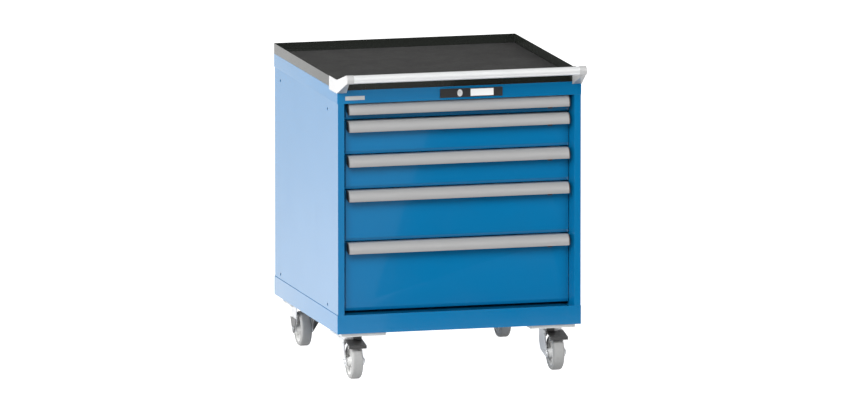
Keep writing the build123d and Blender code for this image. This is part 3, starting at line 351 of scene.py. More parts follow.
    def _scuffs(self) -> bpy.types.NodeTree:
        """Hair-fine scratches that change the gloss.

        Returns:
            The group.
        """
        wiring, given, wanted = new_group(
            "fine_scuffs", "ShaderNodeTree", [("Scale", FLOAT, 40.0)], [("Mask", FLOAT)]
        )
        along = self._noise(wiring, given["Scale"], 2.0, (1.0, 1.0, 0.12))
        across = self._noise(wiring, given["Scale"], 2.0, (0.12, 0.3, 1.3))
        ridges = [
            wiring.maths("ABSOLUTE", wiring.maths("SUBTRACT", value, 0.5)) for value in (along, across)
        ]
        thin = wiring.spread(wiring.maths("MINIMUM", *ridges), 0.0, 0.006, 1.0, 0.0)
        wiring.feed(wanted["Mask"], thin)
        return wiring.tree


class Grain(Enum):
    """What a finish's surface is textured with."""

    PEEL = "skin"
    DRAWN_X = "lines along X"
    DRAWN_Z = "lines along Z"


STRETCHES = {Grain.DRAWN_X: (0.015, 1.0, 1.0), Grain.DRAWN_Z: (1.0, 1.0, 0.02)}
MOTTLE_SCALE = 7.0
# Width and patchiness of the edge mask, which paints worn edges together with a painted edge highlight.
WEAR_AND_HIGHLIGHT_WIDTH = 0.0012
WEAR_AND_HIGHLIGHT_PATCHINESS = 70.0
SCUFF_SCALE = 9.0
SCUFF_ROUGHNESS = 0.03
PEEL_FINENESS = 0.35
LINES_IN_TONE = 0.6
MOTTLE_IN_TONE = 0.4
DUST_COLOUR = (0.42, 0.41, 0.39)


@dataclass(frozen=True)
class Finish:
    """One material of the workbench.

    Attributes:
        slot: the record's slot it paints.
        colour: main colour, linear.
        shade: how far the mottled tone darkens the colour, from 0 to 1.
        roughness: lowest and highest roughness.
        metallic: share of metal.
        specular: specular level of the base.
        coat: weight of the clear top layer.
        coat_roughness: roughness of that layer.
        grain: what the surface is textured with.
        grain_scale: cells or lines per metre.
        grain_depth: depth of the texture, metres.
        edge_wear_and_highlight_colour: colour laid along the edges, mostly lighter than the main colour: worn
            edges and a painted edge highlight.
        edge_wear_and_highlight_share: how strongly the worn edges and the painted edge highlight show.
        dust: how much dust settles on what faces up.
    """

    slot: str
    colour: Colour
    shade: float = 0.06
    roughness: Point = (0.3, 0.4)
    metallic: float = 0.0
    specular: float = 0.5
    coat: float = 0.0
    coat_roughness: float = 0.1
    grain: Grain = Grain.PEEL
    grain_scale: float = 420.0
    grain_depth: float = 0.00002
    edge_wear_and_highlight_colour: Colour = (0.6, 0.6, 0.6)
    edge_wear_and_highlight_share: float = 0.25
    dust: float = 0.0

    def build(self, effects: Effects) -> bpy.types.Material:
        """Makes the node material.

        Args:
            effects: the shared node groups.

        Returns:
            The material, named after the slot.
        """
        material = bpy.data.materials.new(self.slot)
        material.use_nodes = True
        wiring = Wiring(material.node_tree)
        surface = material.node_tree.nodes["Principled BSDF"]
        tone = self._place(wiring, effects.mottle, Scale=MOTTLE_SCALE).outputs["Tone"]
        # Edge mask: worn edges, and a painted highlight where edges catch the light.
        wear_and_highlight = self._place(wiring, effects.edge_wear, Width=WEAR_AND_HIGHLIGHT_WIDTH, Patchiness=WEAR_AND_HIGHLIGHT_PATCHINESS)
        wear_and_highlight = wiring.maths("MULTIPLY", wear_and_highlight.outputs["Mask"], self.edge_wear_and_highlight_share)
        scuffs = self._place(wiring, effects.scuffs, Scale=SCUFF_SCALE).outputs["Mask"]
        if self.grain is Grain.PEEL:
            texture = self._place(wiring, effects.peel, Scale=self.grain_scale, Fineness=PEEL_FINENESS)
        else:
            texture = self._place(
                wiring, effects.brushed, Scale=self.grain_scale, Stretch=STRETCHES[self.grain]
            )
            mottled = wiring.maths("MULTIPLY", tone, MOTTLE_IN_TONE)
            tone = wiring.maths("MULTIPLY_ADD", texture.outputs["Tone"], LINES_IN_TONE, mottled)
        shaded = tuple(c * (1 - self.shade) for c in self.colour)
        colour = wiring.blend(tone, self._rgba(self.colour), self._rgba(shaded))
        # Edges take the edge colour: worn paint together with a painted edge highlight.
        colour = wiring.blend(wear_and_highlight, colour, self._rgba(self.edge_wear_and_highlight_colour))
        if self.dust:
            mask = self._place(wiring, effects.dust, Amount=self.dust).outputs["Mask"]
            colour = wiring.blend(mask, colour, self._rgba(DUST_COLOUR))
        rough = wiring.spread(tone, 0.0, 1.0, *self.roughness)
        rough = wiring.maths("MULTIPLY_ADD", scuffs, SCUFF_ROUGHNESS, rough)
        bump = wiring.add("ShaderNodeBump")
        bump.inputs["Strength"].default_value = 1.0
        bump.inputs["Distance"].default_value = self.grain_depth
        wiring.feed(bump.inputs["Height"], texture.outputs["Height"])
        wiring.feed(surface.inputs["Base Color"], colour)
        wiring.feed(surface.inputs["Roughness"], rough)
        wiring.feed(surface.inputs["Normal"], bump.outputs["Normal"])
        surface.inputs["Metallic"].default_value = self.metallic
        surface.inputs["Specular IOR Level"].default_value = self.specular
        surface.inputs["Coat Weight"].default_value = self.coat
        surface.inputs["Coat Roughness"].default_value = self.coat_roughness
        return material

    @staticmethod
    def _rgba(colour: Colour) -> tuple[float, float, float, float]:
        """The colour with full alpha."""
        return (*colour, 1.0)

    @staticmethod
    def _place(wiring: Wiring, group: bpy.types.NodeTree, **values: object) -> bpy.types.Node:
        """Places a shared group in the material with its own values.

        Args:
            wiring: the material's wiring.
            group: the group to place.
            values: the group's inputs by name.

        Returns:
            The group's node.
        """
        node = wiring.add("ShaderNodeGroup", node_tree=group)
        for name, value in values.items():
            node.inputs[name].default_value = value
        return node


# Most edge colours are lighter than the main colour: worn edges together with a painted edge highlight.
FINISHES = (
    Finish("blue_enamel", (0.0, 0.155, 0.362), 0.03, (0.16, 0.22), coat=0.75, coat_roughness=0.05,
           grain_depth=0.000004, edge_wear_and_highlight_colour=(0.1, 0.33, 0.6), edge_wear_and_highlight_share=0.35),
    Finish("drawer_steel", (0.52, 0.54, 0.55), 0.05, (0.35, 0.45), grain_depth=0.00001, dust=0.05),
    Finish("handle_aluminium", (0.41, 0.41, 0.41), 0.07, (0.42, 0.52), 0.35, grain=Grain.DRAWN_X,
           grain_scale=1100.0, grain_depth=0.000006, edge_wear_and_highlight_colour=(0.75, 0.75, 0.75), edge_wear_and_highlight_share=0.3),
    Finish("black_plastic", (0.022, 0.022, 0.023), 0.15, (0.42, 0.55), grain_scale=900.0,
           edge_wear_and_highlight_colour=(0.12, 0.12, 0.12), edge_wear_and_highlight_share=0.4, dust=0.04),
    Finish("zinc_steel", (0.74, 0.75, 0.76), 0.14, (0.28, 0.42), 0.55, grain_scale=260.0,
           grain_depth=0.00001, edge_wear_and_highlight_colour=(0.9, 0.9, 0.9)),
    Finish("black_enamel", (0.013, 0.0155, 0.0125), 0.1, (0.2, 0.28), coat=0.7, coat_roughness=0.06,
           grain_depth=0.000005, edge_wear_and_highlight_colour=(0.12, 0.12, 0.12), edge_wear_and_highlight_share=0.5, dust=0.02),
    Finish("mat_rubber", (0.062, 0.062, 0.061), 0.2, (0.6, 0.75), specular=0.35, grain_scale=1200.0,
           grain_depth=0.00003, edge_wear_and_highlight_colour=(0.1, 0.1, 0.1), dust=0.05),
    Finish("bar_aluminium", (0.84, 0.85, 0.855), 0.04, (0.3, 0.38), 0.3, grain=Grain.DRAWN_X,
           grain_scale=1300.0, grain_depth=0.000003, edge_wear_and_highlight_colour=(0.9, 0.9, 0.9)),
    Finish("silver_enamel", (0.56, 0.56, 0.56), 0.04, (0.3, 0.4), 0.15, coat=0.3, grain_depth=0.000006,
           edge_wear_and_highlight_colour=(0.85, 0.85, 0.85)),
    Finish("label_paper", (0.95, 0.95, 0.94), 0.03, (0.7, 0.85), specular=0.3, grain_scale=2500.0,
           edge_wear_and_highlight_colour=(0.8, 0.8, 0.78), edge_wear_and_highlight_share=0.2),
    Finish("lock_chrome", (0.88, 0.88, 0.87), 0.05, (0.25, 0.33), 0.3, grain=Grain.DRAWN_Z,
           grain_scale=1500.0, grain_depth=0.000003, edge_wear_and_highlight_colour=(0.9, 0.9, 0.9)),
    Finish("plate_enamel", (0.72, 0.71, 0.69), 0.05, (0.3, 0.42), coat=0.3, grain_depth=0.000008,
           edge_wear_and_highlight_colour=(0.8, 0.8, 0.8), dust=0.05),
    Finish("black_steel", (0.028, 0.028, 0.028), 0.2, (0.3, 0.42), coat=0.4, coat_roughness=0.15,
           grain_depth=0.00001, edge_wear_and_highlight_colour=(0.35, 0.35, 0.35), edge_wear_and_highlight_share=0.5, dust=0.04),
    Finish("grey_tyre", (0.36, 0.36, 0.357), 0.12, (0.55, 0.7), specular=0.4, grain_scale=700.0,
           grain_depth=0.00004, edge_wear_and_highlight_colour=(0.45, 0.44, 0.42), edge_wear_and_highlight_share=0.3, dust=0.15),
    Finish("wheel_nylon", (0.7, 0.7, 0.69), 0.06, (0.35, 0.5), grain_scale=800.0,
           edge_wear_and_highlight_colour=(0.75, 0.75, 0.74), edge_wear_and_highlight_share=0.3, dust=0.08),
)


# ---------------------------------------------------------------- meshes
def centre_of(node: str) -> Vector:
    """Middle of a CAD node's box."""
    low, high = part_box(node)
    return (low + high) / 2


def object_from(name: str, mesh: bpy.types.Mesh) -> bpy.types.Object:
    """Links a new object that holds a mesh.

    Args:
        name: the piece's name.
        mesh: its mesh, in place.

    Returns:
        The object.
    """
    piece = bpy.data.objects.new(name, mesh)
    bpy.context.scene.collection.objects.link(piece)
    return piece


def mesh_from(name: str, build: bmesh.types.BMesh, smooth_under: float = SMOOTH_UNDER) -> bpy.types.Mesh:
    """Turns a bmesh into a mesh that is smooth except at its edges.

    Args:
        name: the mesh's name.
        build: the geometry; it is freed.
        smooth_under: edges that turn less than this many degrees look smooth.

    Returns:
        The mesh.
    """
    bmesh.ops.recalc_face_normals(build, faces=build.faces)
    mesh = bpy.data.meshes.new(name)
    build.to_mesh(mesh)
    build.free()
    mesh.shade_smooth()
    mesh.set_sharp_from_angle(angle=math.radians(smooth_under))
    return mesh


def made(name: str, build: bmesh.types.BMesh) -> bpy.types.Object:
    """A new object from a bmesh, which is freed."""
    return object_from(name, mesh_from(name, build))


def points_of(name: str, places: Sequence[Triple]) -> bpy.types.Object:
    """A new object of loose points, for fasteners to stand on."""
    mesh = bpy.data.meshes.new(name)
    mesh.from_pydata(places, [], [])
    return object_from(name, mesh)


def settle(piece: bpy.types.Object) -> None:
    """Applies a piece's modifiers, so that it is a plain mesh.

    Args:
        piece: the piece; its modifiers are removed.
    """
    bpy.context.view_layer.update()
    depsgraph = bpy.context.evaluated_depsgraph_get()
    mesh = bpy.data.meshes.new_from_object(piece.evaluated_get(depsgraph), depsgraph=depsgraph)
    piece.modifiers.clear()
    piece.data = mesh


def round_edges(piece: bpy.types.Object, radius: float, segments: int = 2) -> None:
    """Rounds a piece's sharp edges.

    Args:
        piece: the piece.
        radius: the rounding's width.
        segments: faces across it.
    """
    bevel = piece.modifiers.new("rounding", "BEVEL")
    bevel.width = radius
    bevel.segments = segments
    bevel.limit_method = "ANGLE"
    bevel.angle_limit = math.radians(BEVEL_OVER)
    bevel.miter_outer = "MITER_ARC"
    bevel.harden_normals = True
    settle(piece)


def block(build: bmesh.types.BMesh, low: Sequence[float], high: Sequence[float]) -> None:
    """Adds a box between two corners.

    Args:
        build: the geometry to add to.
        low: lowest corner.
        high: highest corner.
    """
    size = Vector(high) - Vector(low)
    place = Matrix.Translation((Vector(low) + Vector(high)) / 2) @ Matrix.Diagonal((*size, 1.0))
    bmesh.ops.create_cube(build, size=1.0, matrix=place)


def drawn(build: bmesh.types.BMesh, outline: Sequence[Point], x_low: float, x_high: float) -> None:
    """Draws a closed outline along X.

    Args:
        build: the geometry to add to.
        outline: (y, z) points, not repeating the first.
        x_low: where the length starts.
        x_high: where it ends.
    """
    ends = [[build.verts.new((x, y, z)) for y, z in outline] for x in (x_low, x_high)]
    build.faces.new(ends[0])
    build.faces.new(list(reversed(ends[1])))
    count = len(outline)
    for i in range(count):
        j = (i + 1) % count
        build.faces.new((ends[0][i], ends[1][i], ends[1][j], ends[0][j]))


def turned(build: bmesh.types.BMesh, profile: Sequence[Point], centre: Vector, segments: int) -> None:
    """Turns a closed profile about an axle along X.

    Args:
        build: the geometry to add to.
        profile: (distance along the axle, radius) points, closed.
        centre: middle of the axle.
        segments: steps round the axle.
    """
    rings = []
    for step in range(segments):
        angle = 2 * math.pi * step / segments
        rings.append([
            build.verts.new((centre.x + x, centre.y + r * math.sin(angle), centre.z + r * math.cos(angle)))
            for x, r in profile
        ])
    for step, ring in enumerate(rings):
        following = rings[(step + 1) % segments]
        for i in range(len(profile)):
            j = (i + 1) % len(profile)
            build.faces.new((ring[i], ring[j], following[j], following[i]))


def arc(middle: Point, radius: float, start: float, end: float, steps: int) -> list[Point]:
    """Points along an arc.

    Args:
        middle: its centre.
        radius: its radius.
        start: first angle, degrees.
        end: last angle, degrees.
        steps: how many stretches it has.

    Returns:
        The points, ends included.
    """
    angles = [math.radians(start + (end - start) * i / steps) for i in range(steps + 1)]
    return [(middle[0] + radius * math.cos(a), middle[1] + radius * math.sin(a)) for a in angles]


def arc_through(first: Point, middle: Point, last: Point, steps: int) -> tuple[list[Point], Point]:
    """Points along the arc through three points.

    Args:
        first: where it starts.
        middle: a point on the way.
        last: where it ends.
        steps: how many stretches it has.

    Returns:
        The points, ends included, and the arc's centre.
    """
    (ax, ay), (bx, by), (cx, cy) = first, middle, last
    d = 2 * (ax * (by - cy) + bx * (cy - ay) + cx * (ay - by))
    squares = [x * x + y * y for x, y in (first, middle, last)]
    ux = (squares[0] * (by - cy) + squares[1] * (cy - ay) + squares[2] * (ay - by)) / d
    uy = (squares[0] * (cx - bx) + squares[1] * (ax - cx) + squares[2] * (bx - ax)) / d
    radius = math.hypot(ax - ux, ay - uy)
    start, end = (math.degrees(math.atan2(y - uy, x - ux)) for x, y in (first, last))
    if abs(end - start) > 180:
        end += 360 if end < start else -360
    return arc((ux, uy), radius, start, end, steps), (ux, uy)


# ---------------------------------------------------------------- repeated details
class Head(Enum):
    """Shapes of fastener heads."""

    HEX = 6
    DOME = 16


class Repeats:
    """Geometry node trees for what repeats: fasteners, mat ribs, wall ribs and wheel spokes."""

    ROUND_SIDES = 20
    BODY_SHARE = 0.82
    CROWN_SHARE = 0.18
    CROWN_TOP = 0.62
    CROWN_FOOT = 0.84

    def __init__(self) -> None:
        """Builds the trees."""
        self.fasteners = self._fasteners()
        self.mat_ribs = self._mat_ribs()
        self.wall_ribs = self._wall_ribs()
        self.spokes = self._spokes()

    @staticmethod
    def _tree(name: str, *inputs: tuple) -> tuple[Wiring, dict, dict]:
        """Starts a tree that takes a geometry, sizes and a finish, and gives a geometry.

        Args:
            name: the tree's name.
            inputs: its sizes, as new_group takes them.

        Returns:
            The wiring, the inputs and the outputs.
        """
        inputs = [("Geometry", GEOMETRY, None), *inputs, ("Finish", MATERIAL, None)]
        return new_group(name, "GeometryNodeTree", inputs, [("Geometry", GEOMETRY)])

    @staticmethod
    def _placed(
        wiring: Wiring, points: bpy.types.NodeSocket, instance: bpy.types.NodeSocket,
        turn: object = None, scale: object = None,
    ) -> bpy.types.NodeSocket:
        """Puts an instance at every point.

        Args:
            wiring: the tree.
            points: the points.
            instance: what stands at each of them.
            turn: its angles, or None.
            scale: its scale, or None.

        Returns:
            The instances.
        """
        node = wiring.add("GeometryNodeInstanceOnPoints")
        wiring.feed(node.inputs["Points"], points)
        wiring.feed(node.inputs["Instance"], instance)
        if turn is not None:
            euler = wiring.add("FunctionNodeEulerToRotation")
            wiring.feed(euler.inputs[0], turn)
            wiring.feed(node.inputs["Rotation"], euler.outputs[0])
        wiring.feed(node.inputs["Scale"], scale)
        return node.outputs["Instances"]

    @staticmethod
    def _finish_tree(
        wiring: Wiring, geometry: bpy.types.NodeSocket, given: dict, wanted: dict
    ) -> bpy.types.NodeTree:
        """Ends a tree with Realize Instances and Set Material.

        Args:
            wiring: the tree.
            geometry: what it has made.
            given: its inputs.
            wanted: its outputs.

        Returns:
            The tree.
        """
        real = wiring.add("GeometryNodeRealizeInstances")
        wiring.feed(real.inputs["Geometry"], geometry)
        paint = wiring.add("GeometryNodeSetMaterial")
        wiring.feed(paint.inputs["Geometry"], real.outputs["Geometry"])
        wiring.feed(paint.inputs["Material"], given["Finish"])
        wiring.feed(wanted["Geometry"], paint.outputs["Geometry"])
        return wiring.tree

    @staticmethod
    def _vector(wiring: Wiring, x: object = 0.0, y: object = 0.0, z: object = 0.0) -> bpy.types.NodeSocket:
        """A vector from three numbers or sockets."""
        node = wiring.add("ShaderNodeCombineXYZ")
        for socket, value in zip(node.inputs, (x, y, z)):
            wiring.feed(socket, value)
        return node.outputs[0]

    @staticmethod
    def _join(wiring: Wiring, *parts: bpy.types.NodeSocket) -> bpy.types.NodeSocket:
        """Joins geometries into one."""
        node = wiring.add("GeometryNodeJoinGeometry")
        for part in parts:
            wiring.tree.links.new(part, node.inputs[0])
        return node.outputs[0]

    @staticmethod
    def _moved(wiring: Wiring, geometry: bpy.types.NodeSocket, **change: object) -> bpy.types.NodeSocket:
        """Moves, turns or scales a geometry.

        Args:
            wiring: the tree.
            geometry: what to change.
            change: values for Translation, Rotation or Scale.

        Returns:
            The changed geometry.
        """
        node = wiring.add("GeometryNodeTransform")
        wiring.feed(node.inputs["Geometry"], geometry)
        for name, value in change.items():
            wiring.feed(node.inputs[name], value)
        return node.outputs[0]

    def _barrel(self, wiring: Wiring, sides: object, radius: object, depth: object) -> bpy.types.NodeSocket:
        """A prism or cylinder about Z, centred on the origin."""
        node = wiring.add("GeometryNodeMeshCylinder")
        for name, value in (("Vertices", sides), ("Radius", radius), ("Depth", depth)):
            wiring.feed(node.inputs[name], value)
        return node.outputs["Mesh"]

    def _fasteners(self) -> bpy.types.NodeTree:
        """A washer and a head with a raised crown at every point, facing one way.

        Returns:
            The tree.
        """
        wiring, given, wanted = self._tree(
            "fasteners", ("Sides", INTEGER, 6), ("Head Radius", FLOAT, 0.0075), ("Head Height", FLOAT, 0.005),
            ("Washer Radius", FLOAT, 0.008), ("Washer Height", FLOAT, 0.001),
            ("Facing", VECTOR, (0.0, 0.0, 0.0)),
        )
        height, thick = given["Head Height"], given["Washer Height"]
        washer = self._moved(
            wiring, self._barrel(wiring, self.ROUND_SIDES, given["Washer Radius"], thick),
            Translation=self._vector(wiring, z=wiring.maths("MULTIPLY", thick, 0.5)),
        )
        body = wiring.maths("MULTIPLY", height, self.BODY_SHARE)
        head = self._moved(
            wiring, self._barrel(wiring, given["Sides"], given["Head Radius"], body),
            Translation=self._vector(wiring, z=wiring.maths("MULTIPLY", body, 0.5)),
        )
        crown = wiring.add("GeometryNodeMeshCone")
        for name, value in (
            ("Vertices", self.ROUND_SIDES),
            ("Radius Top", wiring.maths("MULTIPLY", given["Head Radius"], self.CROWN_TOP)),
            ("Radius Bottom", wiring.maths("MULTIPLY", given["Head Radius"], self.CROWN_FOOT)),
            ("Depth", wiring.maths("MULTIPLY", height, self.CROWN_SHARE)),
        ):
            wiring.feed(crown.inputs[name], value)
        cap = self._moved(wiring, crown.outputs["Mesh"], Translation=self._vector(wiring, z=body))
        fastener = self._join(wiring, washer, head, cap)
        placed = self._placed(wiring, given["Geometry"], fastener, given["Facing"])
        return self._finish_tree(wiring, placed, given, wanted)

    def _mat_ribs(self) -> bpy.types.NodeTree:
        """Fine diagonal ribs over a rectangle, each cut off where it meets the border.

        Returns:
            The tree.
        """
        wiring, given, wanted = self._tree(
            "mat_ribs", ("Count", INTEGER, 240), ("Pitch", FLOAT, 0.004), ("Half Width", FLOAT, 0.3),
            ("Half Depth", FLOAT, 0.3), ("Rib Width", FLOAT, 0.002), ("Rib Height", FLOAT, 0.0006),
            ("Middle", VECTOR, (0.0, 0.0, 0.0)),
        )
        index = wiring.add("GeometryNodeInputIndex").outputs[0]
        centred = wiring.maths("SUBTRACT", index, wiring.maths("MULTIPLY_ADD", given["Count"], 0.5, -0.5))
        offset = wiring.maths("MULTIPLY", centred, given["Pitch"])
        wide = wiring.maths("MULTIPLY", given["Half Width"], math.sqrt(2))
        deep = wiring.maths("MULTIPLY", given["Half Depth"], math.sqrt(2))
        start = wiring.maths(
            "MAXIMUM", wiring.maths("SUBTRACT", offset, wide),
            wiring.maths("SUBTRACT", wiring.maths("MULTIPLY", offset, -1.0), deep),
        )
        end = wiring.maths(
            "MINIMUM", wiring.maths("ADD", offset, wide), wiring.maths("SUBTRACT", deep, offset)
        )
        length = wiring.maths("MAXIMUM", wiring.maths("SUBTRACT", end, start), 0.001)
        along = wiring.maths("MULTIPLY", wiring.maths("ADD", start, end), 0.5)
        x = wiring.maths("MULTIPLY", wiring.maths("SUBTRACT", along, offset), math.sqrt(0.5))
        y = wiring.maths("MULTIPLY", wiring.maths("ADD", along, offset), math.sqrt(0.5))
        line = wiring.add("GeometryNodeMeshLine")
        wiring.feed(line.inputs["Count"], given["Count"])
        put = wiring.add("GeometryNodeSetPosition")
        wiring.feed(put.inputs["Geometry"], line.outputs["Mesh"])
        place_of = wiring.vector_maths("ADD", self._vector(wiring, x, y), given["Middle"]).outputs[0]
        wiring.feed(put.inputs["Position"], place_of)
        rib = self._moved(wiring, self._barrel(wiring, 8, 0.5, 1.0), Rotation=(0.0, math.pi / 2, 0.0))
        tall = wiring.maths("MULTIPLY", given["Rib Height"], 2.0)
        size = self._vector(wiring, length, given["Rib Width"], tall)
        placed = self._placed(wiring, put.outputs["Geometry"], rib, (0.0, 0.0, math.pi / 4), size)
        return self._finish_tree(wiring, self._join(wiring, given["Geometry"], placed), given, wanted)

    def _wall_ribs(self) -> bpy.types.NodeTree:
        """Upright pressed ribs along both side walls of a drawer.

        Returns:
            The tree.
        """
        wiring, given, wanted = self._tree(
            "wall_ribs", ("Count", INTEGER, 24), ("Pitch", FLOAT, 0.025), ("Rib Width", FLOAT, 0.004),
            ("Rib Height", FLOAT, 0.05), ("Rib Depth", FLOAT, 0.0008), ("Half Width", FLOAT, 0.3),
            ("Start", VECTOR, (0.0, 0.0, 0.0)),
        )
        across = wiring.maths("MULTIPLY", given["Rib Depth"], 2.0)
        rib = self._moved(
            wiring, self._barrel(wiring, 10, 0.5, 1.0),
            Scale=self._vector(wiring, across, given["Rib Width"], given["Rib Height"]),
        )
        rows = []
        for side in (-1.0, 1.0):
            line = wiring.add("GeometryNodeMeshLine")
            wiring.feed(line.inputs["Count"], given["Count"])
            aside = self._vector(wiring, wiring.maths("MULTIPLY", given["Half Width"], side))
            start = wiring.vector_maths("ADD", given["Start"], aside).outputs[0]
            wiring.feed(line.inputs["Start Location"], start)
            wiring.feed(line.inputs["Offset"], self._vector(wiring, y=given["Pitch"]))
            rows.append(line.outputs["Mesh"])
        placed = self._placed(wiring, self._join(wiring, *rows), rib)
        return self._finish_tree(wiring, self._join(wiring, given["Geometry"], placed), given, wanted)

    def _spokes(self) -> bpy.types.NodeTree:
        """Radial ribs on both faces of a wheel's web.

        Returns:
            The tree.
        """
        wiring, given, wanted = self._tree(
            "spokes", ("Count", INTEGER, 6), ("Ring Radius", FLOAT, 0.02), ("Length", FLOAT, 0.02),
            ("Thickness", FLOAT, 0.003), ("Width", FLOAT, 0.02), ("Middle", VECTOR, (0.0, 0.0, 0.0)),
        )
        ring = wiring.add("GeometryNodeMeshCircle")
        wiring.feed(ring.inputs["Vertices"], given["Count"])
        wiring.feed(ring.inputs["Radius"], given["Ring Radius"])
        bar = wiring.add("GeometryNodeMeshCube")
        size = self._vector(wiring, given["Length"], given["Thickness"], given["Width"])
        wiring.feed(bar.inputs["Size"], size)
        index = wiring.add("GeometryNodeInputIndex").outputs[0]
        angle = wiring.maths("MULTIPLY", wiring.maths("DIVIDE", index, given["Count"]), 2 * math.pi)
        turn = self._vector(wiring, z=angle)
        placed = self._placed(wiring, ring.outputs["Mesh"], bar.outputs["Mesh"], turn)
        upright = self._moved(wiring, placed, Rotation=(0.0, math.pi / 2, 0.0))
        moved = self._moved(wiring, upright, Translation=given["Middle"])
        return self._finish_tree(wiring, self._join(wiring, given["Geometry"], moved), given, wanted)

    @staticmethod
    def apply(piece: bpy.types.Object, tree: bpy.types.NodeTree, **values: object) -> None:
        """Runs a tree on a piece and keeps the result as its plain mesh.

        Args:
            piece: the piece that the tree works on.
            tree: the tree.
            values: its inputs by name, with underscores for spaces.
        """
        modifier = piece.modifiers.new(tree.name, "NODES")
        modifier.node_group = tree
        for item in tree.interface.items_tree:
            key = item.name.replace(" ", "_")
            if item.item_type == "SOCKET" and item.in_out == "INPUT" and key in values:
                modifier[item.identifier] = values[key]
        settle(piece)

    def fasten(
        self, piece: bpy.types.Object, head: Head, head_size: Point, washer_size: Point, facing: Triple,
        finish: bpy.types.Material,
    ) -> None:
        """Stands a fastener on every point of a piece.

        Args:
            piece: the points.
            head: shape of the heads.
            head_size: their radius and height.
            washer_size: radius and height of the washers.
            facing: angles that turn a fastener from +Z.
            finish: its material.
        """
        self.apply(
            piece, self.fasteners, Sides=head.value, Head_Radius=head_size[0], Head_Height=head_size[1],
            Washer_Radius=washer_size[0], Washer_Height=washer_size[1], Facing=facing, Finish=finish,
        )


# ---------------------------------------------------------------- shop: what every sub-assembly uses
class Shop:
    """Finishes, repeats and the frame's nodes, for the classes that build sub-assemblies."""

    def __init__(self) -> None:
        """Builds the finishes and the trees of what repeats."""
        effects = Effects()
        self.finishes = {finish.slot: finish.build(effects) for finish in FINISHES}
        self.repeats = Repeats()
        bodies = frame["record"]["behaviour"]["bodies"]
        self.body_of = {node: body for body, nodes in bodies.items() for node in nodes}

    def dress(self, piece: bpy.types.Object, slot: str, body: str, *nodes: str) -> None:
        """Gives a finished piece its material and its body, and hides the CAD nodes that it stands for.

        Args:
            piece: the piece, in place.
            slot: the record's material slot.
            body: the body it rides on.
            nodes: CAD nodes that it replaces.
        """
        if not piece.data.materials:
            piece.data.materials.append(self.finishes[slot])
        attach(piece, body)
        if nodes:
            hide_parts(*nodes)
        LOG.info("%s on %s in %s, %d faces", piece.name, body, slot, len(piece.data.polygons))

    def keep(self, node: str, slot: str) -> None:
        """Leaves a CAD node in view and gives it its finish.

        Args:
            node: the node.
            slot: the record's material slot.
        """
        data = frame["nodes"][node].data
        data.materials.clear()
        data.materials.append(self.finishes[slot])
        LOG.info("%s kept, in %s", node, slot)

    def rounded(self, node: str, slot: str, radius: float, segments: int = 2) -> None:
        """Stands a copy with rounded edges in a CAD node's place.

        Args:
            node: the node.
            slot: the record's material slot.
            radius: width of the rounding.
            segments: faces across the rounding.
        """
        build = bmesh.new()
        build.from_mesh(frame["nodes"][node].data)
        bmesh.ops.remove_doubles(build, verts=build.verts, dist=MERGE_UNDER)
        flat = math.radians(FLAT_UNDER)
        bmesh.ops.dissolve_limit(build, angle_limit=flat, verts=build.verts, edges=build.edges)
        mesh = bpy.data.meshes.new(node)
        build.to_mesh(mesh)
        build.free()
        mesh.shade_smooth()
        mesh.set_sharp_from_angle(angle=math.radians(SMOOTH_UNDER))
        piece = object_from(f"{node}_finished", mesh)
        round_edges(piece, radius, segments)
        self.dress(piece, slot, self.body_of[node], node)


